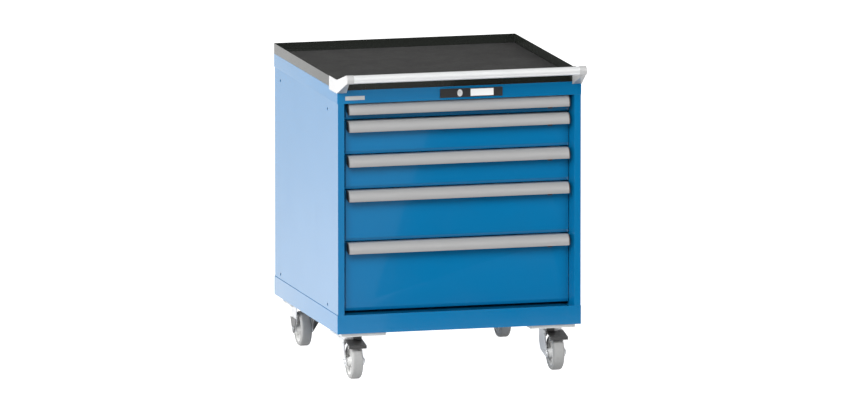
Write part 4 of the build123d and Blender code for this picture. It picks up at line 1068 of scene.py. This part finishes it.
# ---------------------------------------------------------------- housing
@dataclass
class Housing:
    """Plinth, side panels, back, top frame and name plate of the cabinet.

    Attributes:
        shop: finishes and repeats.
        fold_radius: rounding of folded sheet edges.
        plate_width: width of the blank name plate.
        plate_height: its height.
        plate_thickness: its thickness.
        plate_inset: from the top frame's left end to the plate.
        plate_drop: from the top frame's middle down to the plate's.
        plate_radius: rounding of the plate's edges.
        back_radius: rounding of the back panel's edges.
        screw_inset: from the back panel's edges to its screws.
        screw_rows: screws along each upright edge.
        screw_columns: screws along the top and bottom edges.
        screw_seat: how far in from the panel's lowest Y the screws sit.
        screw_head: radius and height of a screw's head.
        screw_washer: radius and height of its washer.
    """

    shop: Shop
    fold_radius: float = 0.8 * MM
    plate_width: float = 57.0 * MM
    plate_height: float = 11.5 * MM
    plate_thickness: float = 0.8 * MM
    plate_inset: float = 23.0 * MM
    plate_drop: float = 3.5 * MM
    plate_radius: float = 0.35 * MM
    back_radius: float = 0.5 * MM
    screw_inset: float = 11.0 * MM
    screw_rows: int = 6
    screw_columns: int = 5
    screw_seat: float = 1.5 * MM
    screw_head: Point = (3.8 * MM, 2.4 * MM)
    screw_washer: Point = (4.6 * MM, 0.5 * MM)

    def build(self) -> None:
        """Builds and dresses every piece of the housing."""
        for node in ("base_plinth", "side_panel_left", "side_panel_right", "top_frame"):
            self.shop.rounded(node, "blue_enamel", self.fold_radius)
        self.shop.rounded("back_panel", "blue_enamel", self.back_radius)
        for node in ("cabinet_runners", "lock_bar_guides"):
            self.shop.keep(node, "zinc_steel")
        self.name_plate()
        self.back_screws()

    def name_plate(self) -> None:
        """A blank plate at the left of the top band."""
        low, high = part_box("top_frame")
        left, middle = low.x + self.plate_inset, (low.z + high.z) / 2 - self.plate_drop
        build = bmesh.new()
        block(
            build,
            (left, low.y - self.plate_thickness, middle - self.plate_height / 2),
            (left + self.plate_width, low.y, middle + self.plate_height / 2),
        )
        piece = made("name_plate", build)
        round_edges(piece, self.plate_radius, 3)
        self.shop.dress(piece, "silver_enamel", "cabinet")

    def back_screws(self) -> None:
        """Domed screws round the edge of the back panel."""
        low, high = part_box("back_panel")
        left, right = low.x + self.screw_inset, high.x - self.screw_inset
        foot, top = low.z + self.screw_inset, high.z - self.screw_inset
        places = [
            (x, foot + (top - foot) * row / (self.screw_rows - 1))
            for x in (left, right)
            for row in range(self.screw_rows)
        ]
        places += [
            (left + (right - left) * column / (self.screw_columns - 1), z)
            for z in (foot, top)
            for column in range(1, self.screw_columns - 1)
        ]
        piece = points_of("back_screws", [(x, low.y + self.screw_seat, z) for x, z in places])
        self.shop.repeats.fasten(
            piece, Head.DOME, self.screw_head, self.screw_washer, (-math.pi / 2, 0.0, 0.0),
            self.shop.finishes["zinc_steel"],
        )
        self.shop.dress(piece, "zinc_steel", "cabinet")


# ---------------------------------------------------------------- worktop
@dataclass
class Worktop:
    """Rimmed sheet tray and its ribbed mat.

    Attributes:
        shop: finishes and repeats.
        rib_pitch: distance between the mat's ribs.
        rib_width: width of a rib.
        rib_height: how far a rib stands up.
        border: plain border round the ribs.
        tray_radius: rounding of the tray's edges.
        mat_radius: rounding of the mat's edges.
    """

    shop: Shop
    rib_pitch: float = 4.4 * MM
    rib_width: float = 2.4 * MM
    rib_height: float = 0.7 * MM
    border: float = 3.0 * MM
    tray_radius: float = 0.7 * MM
    mat_radius: float = 0.5 * MM

    def build(self) -> None:
        """Builds and dresses the tray and the mat."""
        self.shop.rounded("worktop_tray", "black_enamel", self.tray_radius)
        low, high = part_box("ribbed_mat")
        top = high.z - self.rib_height
        build = bmesh.new()
        block(build, low, (high.x, high.y, top))
        piece = made("ribbed_mat_finished", build)
        round_edges(piece, self.mat_radius)
        half_width, half_depth = (high.x - low.x) / 2 - self.border, (high.y - low.y) / 2 - self.border
        count = int(math.sqrt(2) * (half_width + half_depth) / self.rib_pitch) - 1
        middle = ((low.x + high.x) / 2, (low.y + high.y) / 2, top)
        self.shop.repeats.apply(
            piece, self.shop.repeats.mat_ribs, Count=count, Pitch=self.rib_pitch, Half_Width=half_width,
            Half_Depth=half_depth, Rib_Width=self.rib_width, Rib_Height=self.rib_height, Middle=middle,
            Finish=self.shop.finishes["mat_rubber"],
        )
        self.shop.dress(piece, "mat_rubber", "cabinet", "ribbed_mat")


# ---------------------------------------------------------------- push bar
@dataclass
class PushBar:
    """Drawn tube across the front, in two cast corner brackets.

    Attributes:
        shop: finishes and repeats.
        wall: the tube's wall.
        segments: steps round the tube.
        chamfer: chamfer at the tube's ends.
        cast_radius: rounding of the brackets' edges.
    """

    shop: Shop
    wall: float = 1.5 * MM
    segments: int = 72
    chamfer: float = 0.4 * MM
    cast_radius: float = 1.2 * MM

    def build(self) -> None:
        """Builds and dresses the tube and the brackets."""
        low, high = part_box("push_bar")
        half, radius = (high.x - low.x) / 2, (high.z - low.z) / 2
        bore, cut = radius - self.wall, self.chamfer
        profile = [(-half, bore), (-half, radius - cut), (-half + cut, radius),
                   (half - cut, radius), (half, radius - cut), (half, bore)]
        build = bmesh.new()
        turned(build, profile, centre_of("push_bar"), self.segments)
        piece = made("push_bar_finished", build)
        self.shop.dress(piece, "bar_aluminium", "cabinet", "push_bar")
        self.shop.rounded("bar_brackets", "silver_enamel", self.cast_radius, 3)


# ---------------------------------------------------------------- lock
@dataclass
class Lock:
    """Lock plate with its oval surround, key core, label and lock bar.

    Attributes:
        shop: finishes and repeats.
        oval_width: width of the surround.
        oval_height: its height.
        oval_depth: from its face to its foot.
        face_proud: how far its face stands off the plate.
        bevel_depth: depth of its bevel.
        bevel_width: how much narrower its face is than its foot.
        bore: radius of the hole for the key core.
        steps: points round the surround.
        plate_radius: rounding of the lock plate's edges.
        label_radius: rounding of the label's edges.
        core_radius: rounding of the key core's edges.
    """

    shop: Shop
    oval_width: float = 15.4 * MM
    oval_height: float = 21.0 * MM
    oval_depth: float = 2.2 * MM
    face_proud: float = 0.2 * MM
    bevel_depth: float = 0.6 * MM
    bevel_width: float = 1.2 * MM
    bore: float = 6.1 * MM
    steps: int = 56
    plate_radius: float = 0.4 * MM
    label_radius: float = 0.15 * MM
    core_radius: float = 0.25 * MM

    def build(self) -> None:
        """Builds and dresses the lock's pieces."""
        self.shop.rounded("lock_plate", "black_plastic", self.plate_radius)
        self.shop.rounded("label_card", "label_paper", self.label_radius)
        self.shop.rounded("lock_cylinder", "lock_chrome", self.core_radius)
        self.shop.keep("lock_bar", "zinc_steel")
        self.surround()

    def surround(self) -> None:
        """A bright oval collar round the key core."""
        plate_low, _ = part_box("lock_plate")
        middle_z = centre_of("lock_plate").z
        face = plate_low.y - self.face_proud
        foot = plate_low.y + self.oval_depth - self.face_proud
        wide, high, across = self.oval_width, self.oval_height, 2 * self.bore
        build = bmesh.new()
        rings = []
        for y, width, height in (
            (foot, wide, high),
            (face + self.bevel_depth, wide, high),
            (face, wide - self.bevel_width, high - self.bevel_width),
            (face, across, across),
            (foot, across, across),
        ):
            turns = [2 * math.pi * i / self.steps for i in range(self.steps)]
            rings.append([
                build.verts.new((width / 2 * math.cos(a), y, middle_z + height / 2 * math.sin(a)))
                for a in turns
            ])
        for i, ring in enumerate(rings):
            following = rings[(i + 1) % len(rings)]
            for k in range(self.steps):
                n = (k + 1) % self.steps
                build.faces.new((ring[k], ring[n], following[n], following[k]))
        self.shop.dress(made("lock_surround", build), "lock_chrome", "cabinet")


# ---------------------------------------------------------------- drawers
@dataclass
class Drawer:
    """One drawer: box, folded front, extruded handle with end caps, latch and slide members.

    Attributes:
        shop: finishes and repeats.
        number: 1 for the top drawer.
        wall: the handle's wall.
        back_flange: depth of the handle's flange behind its top edge.
        top_flat: flat top of the handle.
        bulge_drop: the rounding's fullest point below the top.
        bulge_back: that point behind the front.
        cap: thickness of an end cap.
        rib_pitch: distance between the ribs pressed in the side walls.
        lip_rise: the rolled lower lip above the foot of the handle's node.
        curve_steps: stretches of the handle's rounding.
        lip_steps: stretches of its lower lip.
        cap_drop: how far down an end cap goes against the drawer front.
        cap_foot: width of the cap's foot.
        front_radius: rounding of the front's folds.
        small_radius: rounding of the latch and the end caps.
        box_radius: rounding of the box's edges.
        rib_width: width of a wall rib.
        rib_depth: how far a rib stands off the wall.
        wall_inset: from the box's side to the wall with the ribs.
        rib_foot: from the box's foot to the ribs.
        rib_head: from the ribs to the box's top.
    """

    shop: Shop
    number: int
    wall: float = 2.0 * MM
    back_flange: float = 13.0 * MM
    top_flat: float = 15.0 * MM
    bulge_drop: float = 11.0 * MM
    bulge_back: float = 3.0 * MM
    cap: float = 3.0 * MM
    rib_pitch: float = 17.0 * MM
    lip_rise: float = 2.6 * MM
    curve_steps: int = 14
    lip_steps: int = 6
    cap_drop: float = 24.0 * MM
    cap_foot: float = 5.0 * MM
    front_radius: float = 0.8 * MM
    small_radius: float = 0.5 * MM
    box_radius: float = 0.4 * MM
    rib_width: float = 5.0 * MM
    rib_depth: float = 0.9 * MM
    wall_inset: float = 13.0 * MM
    rib_foot: float = 3.5 * MM
    rib_head: float = 4.0 * MM

    def node(self, part: str) -> str:
        """Name of one of this drawer's CAD nodes or pieces."""
        return f"drawer_{self.number}_{part}"

    def build(self) -> None:
        """Builds and dresses the drawer's pieces."""
        self.shop.rounded(self.node("front"), "blue_enamel", self.front_radius, 3)
        self.shop.rounded(self.node("latch"), "black_plastic", self.small_radius)
        self.shop.keep(f"slide_{self.number}_middle", "zinc_steel")
        self.box()
        self.handle()

    def outer_curve(self) -> tuple[list[Point], Point]:
        """The handle's outer line from the end of its flat top to its lower lip.

        Returns:
            The points and the arc's centre, in (y, z).
        """
        low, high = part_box(self.node("handle"))
        face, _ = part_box(self.node("front"))
        return arc_through(
            (face.y - self.top_flat, high.z),
            (low.y + self.bulge_back, high.z - self.bulge_drop),
            (low.y, low.z + self.lip_rise),
            self.curve_steps,
        )

    def handle(self) -> None:
        """The extrusion and its two end caps."""
        low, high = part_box(self.node("handle"))
        face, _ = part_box(self.node("front"))
        curve, middle = self.outer_curve()
        radius = math.dist(curve[0], middle)
        shrink = (radius - self.wall) / radius
        inner = [
            (middle[0] + (y - middle[0]) * shrink, middle[1] + (z - middle[1]) * shrink) for y, z in curve
        ]
        lip_middle = ((curve[-1][0] + inner[-1][0]) / 2, curve[-1][1])
        lip = arc(lip_middle, self.wall / 2, 180, 360, self.lip_steps)
        body, top = f"drawer_{self.number}", high.z
        flange = top - self.back_flange
        outline = [(face.y, flange), (face.y, top), *curve[:-1], *lip, *reversed(inner[:-1])]
        outline += [(face.y - self.wall, top - self.wall), (face.y - self.wall, flange)]
        build = bmesh.new()
        drawn(build, outline, low.x, high.x)
        piece = made(f"{self.node('handle')}_finished", build)
        self.shop.dress(piece, "handle_aluminium", body, self.node("handle"))
        cap_outline = [
            (face.y, top - self.cap_drop), (face.y, top), *curve, (low.y + self.cap_foot, curve[-1][1])
        ]
        for side_name, side in SIDES:
            inside = high.x if side > 0 else low.x
            build = bmesh.new()
            drawn(build, cap_outline, *sorted((inside, inside + side * self.cap)))
            piece = made(self.node(f"end_cap_{side_name}"), build)
            round_edges(piece, self.small_radius)
            self.shop.dress(piece, "black_plastic", body)

    def box(self) -> None:
        """The box, with upright ribs pressed into its side walls."""
        self.shop.rounded(self.node("box"), "drawer_steel", self.box_radius)
        low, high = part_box(self.node("box"))
        foot, top = low.z + self.rib_foot, high.z - self.rib_head
        count = int((high.y - low.y - 2 * self.rib_pitch) / self.rib_pitch)
        start = (0.0, (low.y + high.y) / 2 - self.rib_pitch * (count - 1) / 2, (foot + top) / 2)
        ribs = made(self.node("wall_ribs"), bmesh.new())
        self.shop.repeats.apply(
            ribs, self.shop.repeats.wall_ribs, Count=count, Pitch=self.rib_pitch, Rib_Width=self.rib_width,
            Rib_Height=top - foot, Rib_Depth=self.rib_depth, Half_Width=high.x - self.wall_inset,
            Start=start, Finish=self.shop.finishes["drawer_steel"],
        )
        self.shop.dress(ribs, "drawer_steel", f"drawer_{self.number}")


# ---------------------------------------------------------------- castors
@dataclass
class Castors:
    """Mount plates, bolts, swivel forks with brake pedals, fixed rear brackets and wheels.

    Attributes:
        shop: finishes and repeats.
        bolt_across: bolt spacing across the cabinet.
        bolt_along: bolt spacing from front to back.
        bolt_head: radius and height of a bolt's head.
        bolt_washer: radius and height of its washer.
        tyre_corner: rounding of the tread's edges.
        tyre_bevel: bevel where the tyre meets the rim.
        rim_half: half the rim's width.
        rim_wall: rim's thickness.
        hub_radius: hub's radius.
        bore: radius of the hub's bore.
        web_half: half the web's thickness.
        spoke_count: ribs round the web.
        spoke_thickness: thickness of such a rib.
        spoke_inset: how much narrower the ribs are than the rim.
        hub_step: how much narrower the hub's end is.
        step: the small step that the wheel's profile is drawn with.
        corner_steps: stretches of the tread's rounding.
        tyre_segments: steps round a tyre.
        wheel_segments: steps round a wheel.
        roundings: slot and edge rounding of the pieces that both sides share.
        side_roundings: the same for the pieces that each side has its own of.
    """

    shop: Shop
    bolt_across: float = 80.0 * MM
    bolt_along: float = 60.0 * MM
    bolt_head: Point = (7.5 * MM, 5.3 * MM)
    bolt_washer: Point = (8.2 * MM, 1.2 * MM)
    tyre_corner: float = 7.0 * MM
    tyre_bevel: float = 1.2 * MM
    rim_half: float = 13.5 * MM
    rim_wall: float = 4.5 * MM
    hub_radius: float = 13.0 * MM
    bore: float = 4.05 * MM
    web_half: float = 3.0 * MM
    spoke_count: int = 7
    spoke_thickness: float = 2.6 * MM
    spoke_inset: float = 6.0 * MM
    hub_step: float = 4.0 * MM
    step: float = 1.0 * MM
    corner_steps: int = 8
    tyre_segments: int = 72
    wheel_segments: int = 60
    roundings: tuple[tuple[str, str, float], ...] = (
        ("castor_mount_plates", "plate_enamel", 0.8 * MM),
        ("swivel_heads", "zinc_steel", 0.5 * MM),
        ("rear_castor_brackets", "zinc_steel", 0.6 * MM),
        # The rear cheeks are black steel; their black also fills the dark shapes beside the rear wheels, which are
        # deep shade under the cabinet, so it is partly painted shade.
        ("rear_castor_cheeks", "black_steel", 0.5 * MM),
        ("rear_axles", "zinc_steel", 0.4 * MM),
    )
    side_roundings: tuple[tuple[str, str, float], ...] = (
        ("castor_fork", "zinc_steel", 0.6 * MM),
        ("brake_pedal", "black_steel", 0.5 * MM),
        ("front_axle", "zinc_steel", 0.4 * MM),
    )

    def build(self) -> None:
        """Builds and dresses every castor piece."""
        for node, slot, radius in self.roundings:
            self.shop.rounded(node, slot, radius)
        for side, _ in SIDES:
            for node, slot, radius in self.side_roundings:
                self.shop.rounded(f"{node}_{side}", slot, radius)
            for end in ("front", "rear"):
                self.tyre(end, side)
                self.wheel(end, side)
        self.bolts()

    def tyre(self, end: str, side: str) -> None:
        """A rubber tyre with a rounded tread.

        Args:
            end: "front" or "rear".
            side: "left" or "right".
        """
        node, wheel = f"{end}_tyre_{side}", f"{end}_wheel_{side}"
        low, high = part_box(node)
        middle, half, radius = centre_of(node), (high.x - low.x) / 2, (high.z - low.z) / 2
        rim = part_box(wheel)[1].z - middle.z
        corner, bevel = self.tyre_corner, self.tyre_bevel
        right = arc((half - corner, radius - corner), corner, 0, 90, self.corner_steps)
        left = arc((corner - half, radius - corner), corner, 90, 180, self.corner_steps)
        profile = [(half - bevel, rim), (half, rim + bevel), *right, *left,
                   (-half, rim + bevel), (bevel - half, rim)]
        build = bmesh.new()
        turned(build, profile, middle, self.tyre_segments)
        self.shop.dress(made(f"{node}_finished", build), "grey_tyre", wheel, node)

    def wheel(self, end: str, side: str) -> None:
        """A nylon wheel with ribs round its web.

        Args:
            end: "front" or "rear".
            side: "left" or "right".
        """
        node = f"{end}_wheel_{side}"
        middle = centre_of(f"{end}_tyre_{side}")
        _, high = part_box(node)
        hub_half, rim = high.x - middle.x, high.z - middle.z
        inside, hub, web, step = rim - self.rim_wall, self.hub_radius, self.web_half, self.step
        half_profile = [
            (hub_half, self.bore), (hub_half, hub - self.hub_step), (hub_half - step, hub - 3 * step),
            (self.rim_half, hub), (web + step, hub + step), (web, hub + 2 * step),
            (web, inside - 2 * step), (web + 2 * step, inside), (self.rim_half - step, inside + step),
            (self.rim_half, inside + 2 * step), (self.rim_half, rim),
        ]
        profile = [*half_profile, *[(-x, r) for x, r in reversed(half_profile)]]
        build = bmesh.new()
        turned(build, profile, middle, self.wheel_segments)
        piece = made(f"{node}_finished", build)
        start, end_radius = hub - step, inside + step
        self.shop.repeats.apply(
            piece, self.shop.repeats.spokes, Count=self.spoke_count, Ring_Radius=(start + end_radius) / 2,
            Length=end_radius - start, Thickness=self.spoke_thickness,
            Width=2 * self.rim_half - self.spoke_inset, Middle=tuple(middle),
            Finish=self.shop.finishes["wheel_nylon"],
        )
        self.shop.dress(piece, "wheel_nylon", node, node)

    def bolts(self) -> None:
        """Hexagon bolts with washers under the castor plates."""
        places = {j["name"]: j["pos_m"] for j in frame["joints"] if "pos_m" in j}
        low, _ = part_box("castor_bolts")
        seat = low.z + self.bolt_head[1]
        points = []
        for side, _ in SIDES:
            for joint in (f"castor_swivel_{side}", f"rear_wheel_spin_{side}"):
                x, y, _ = places[joint]
                points += [
                    (x + i * self.bolt_across / 2, y + k * self.bolt_along / 2, seat)
                    for i in (-1, 1)
                    for k in (-1, 1)
                ]
        piece = points_of("castor_bolts_finished", points)
        self.shop.repeats.fasten(
            piece, Head.HEX, self.bolt_head, self.bolt_washer, (math.pi, 0.0, 0.0),
            self.shop.finishes["zinc_steel"],
        )
        self.shop.dress(piece, "zinc_steel", "cabinet", "castor_bolts")


# ---------------------------------------------------------------- studio
@dataclass(frozen=True)
class Lamp:
    """A rectangular area light.

    Attributes:
        name: its name.
        place: where it stands.
        aim: what it points at.
        size: width and height.
        watts: its power.
    """

    name: str
    place: Triple
    aim: Triple
    size: Point
    watts: float

    def build(self) -> bpy.types.Object:
        """Adds the light to the scene and returns its object."""
        data = bpy.data.lights.new(self.name, "AREA")
        data.shape = "RECTANGLE"
        data.size, data.size_y = self.size
        data.energy = self.watts
        light = bpy.data.objects.new(self.name, data)
        light.location = self.place
        light.rotation_mode = "QUATERNION"
        light.rotation_quaternion = (Vector(self.aim) - Vector(self.place)).to_track_quat("-Z", "Y")
        light.visible_camera = False
        bpy.context.scene.collection.objects.link(light)
        return light


@dataclass
class Studio:
    """Floor, lights, sky and camera.

    Attributes:
        floor_low: lowest corner of the floor.
        floor_high: its highest corner.
        floor_glow: the floor's own light, except in the next two.
        floor_fill: its own light in diffuse rays.
        floor_gloss: what is added to its own light in glossy rays.
        sky_shine: the sky's light in reflections, at the horizon and above.
        sky_full: height at which the sky shines most.
        sky_below: share of that light below the horizon.
        ambient: the sky's light in diffuse rays.
        lamps: the large soft lights.
        card: a lamp whose reflection crosses the drawer fronts.
        card_lean: how far the card leans to the right for each metre up.
        aim: what the camera looks at, from the middle of the object's box.
        back: direction from the object to the camera.
        distance: from the aim to the camera.
        lens: a long lens, so that the view is nearly parallel.
    """

    floor_low: Triple = (-9.0, -1.08, -0.02)
    floor_high: Triple = (9.0, 14.0, 0.0)
    floor_glow: float = 1.0
    floor_fill: float = 0.12
    floor_gloss: float = -0.44
    sky_shine: Point = (0.02, 0.2)
    sky_full: float = 0.6
    sky_below: float = 0.15
    ambient: float = 0.42
    lamps: tuple[Lamp, ...] = (
        Lamp("key", (-2.2, -3.4, 3.2), (0.0, 0.0, 0.5), (2.4, 2.0), 165.0),
        Lamp("left_fill", (-4.2, 0.4, 1.5), (0.0, 0.0, 0.5), (2.2, 1.8), 172.0),
        Lamp("right_fill", (3.0, -3.2, 1.8), (0.0, 0.0, 0.5), (2.0, 2.0), 70.0),
    )
    card: Lamp = Lamp("card", (-0.326, -1.16, 0.33), (-0.326, 0.0, 0.33), (0.75, 1.3), 0.8)
    card_lean: float = 0.33
    aim: Triple = (9.0 * MM, 43.0 * MM, -7.7 * MM)
    back: Triple = (-0.2527, -0.9542, 0.1601)
    distance: float = 54.65
    lens: float = 800.0

    def build(self, low: Vector, high: Vector) -> None:
        """Sets up everything round the object.

        Args:
            low: lowest corner of the object's box.
            high: highest corner.
        """
        self.floor()
        self.sky()
        self.lights()
        self.camera((low + high) / 2)
        bpy.context.scene.view_settings.view_transform = "Standard"

    def floor(self) -> None:
        """A pale floor that the object stands on."""
        build = bmesh.new()
        block(build, self.floor_low, self.floor_high)
        floor = made("floor", build)
        material = bpy.data.materials.new("pale_floor")
        material.use_nodes = True
        wiring = Wiring(material.node_tree)
        surface = material.node_tree.nodes["Principled BSDF"]
        surface.inputs["Roughness"].default_value = 0.8
        surface.inputs["Specular IOR Level"].default_value = 0.2
        noise = wiring.add("ShaderNodeTexNoise")
        noise.inputs["Scale"].default_value = 3.0
        tint = wiring.blend(noise.outputs["Fac"], (0.6, 0.6, 0.6, 1.0), (0.62, 0.62, 0.62, 1.0))
        wiring.feed(surface.inputs["Base Color"], tint)
        path = wiring.add("ShaderNodeLightPath")
        glow = wiring.spread(path.outputs["Is Diffuse Ray"], 0.0, 1.0, self.floor_glow, self.floor_fill)
        glow = wiring.maths("MULTIPLY_ADD", path.outputs["Is Glossy Ray"], self.floor_gloss, glow)
        surface.inputs["Emission Color"].default_value = (1.0, 1.0, 1.0, 1.0)
        wiring.feed(surface.inputs["Emission Strength"], glow)
        floor.data.materials.append(material)
        floor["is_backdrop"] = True

    def sky(self) -> None:
        """Soft light from above, dim below the horizon in reflections, white behind everything."""
        world = bpy.data.worlds.new("studio")
        world.use_nodes = True
        bpy.context.scene.world = world
        wiring = Wiring(world.node_tree)
        background = world.node_tree.nodes["Background"]
        background.inputs["Color"].default_value = (1.0, 1.0, 1.0, 1.0)
        place = wiring.add("ShaderNodeTexCoord").outputs["Generated"]
        split = wiring.add("ShaderNodeSeparateXYZ")
        wiring.feed(split.inputs[0], place)
        height = split.outputs["Z"]
        shine = wiring.spread(height, 0.0, self.sky_full, *self.sky_shine)
        above = wiring.maths("GREATER_THAN", height, -0.01)
        shine = wiring.maths("MULTIPLY", shine, wiring.spread(above, 0.0, 1.0, self.sky_below, 1.0))
        path = wiring.add("ShaderNodeLightPath")
        ambient = wiring.spread(path.outputs["Is Diffuse Ray"], 0.0, 1.0, 0.0, self.ambient)
        not_diffuse = wiring.maths("SUBTRACT", 1.0, path.outputs["Is Diffuse Ray"])
        strength = wiring.maths("MULTIPLY_ADD", shine, not_diffuse, ambient)
        strength = wiring.maths("MAXIMUM", strength, path.outputs["Is Camera Ray"])
        wiring.feed(background.inputs["Strength"], strength)

    def lights(self) -> None:
        """Large soft lights, and the leaning card."""
        for lamp in self.lamps:
            lamp.build()
        card = self.card.build()
        lean = Matrix.Rotation(math.atan(self.card_lean), 3, "Y") @ Matrix.Rotation(math.pi / 2, 3, "X")
        card.rotation_quaternion = lean.to_quaternion()
        card.visible_diffuse = False

    def camera(self, middle: Vector) -> None:
        """Sets up the camera.

        Args:
            middle: middle of the object's box.
        """
        data = bpy.data.cameras.new("camera")
        data.lens = self.lens
        data.clip_start, data.clip_end = 1.0, 200.0
        camera = bpy.data.objects.new("camera", data)
        back = Vector(self.back).normalized()
        camera.location = middle + Vector(self.aim) + back * self.distance
        camera.rotation_mode = "QUATERNION"
        camera.rotation_quaternion = (-back).to_track_quat("-Z", "Y")
        bpy.context.scene.collection.objects.link(camera)
        bpy.context.scene.camera = camera


# ---------------------------------------------------------------- whole object
def main() -> None:
    """Builds every sub-assembly in order."""
    logging.basicConfig(level=logging.INFO, format="%(name)s: %(message)s")
    low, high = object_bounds()
    shop = Shop()
    drawers = [Drawer(shop, number) for number in DRAWER_NUMBERS]
    for assembly in (Housing(shop), Worktop(shop), PushBar(shop), Lock(shop), *drawers, Castors(shop)):
        assembly.build()
    Studio().build(low, high)


if __name__ == "__main__":
    main()
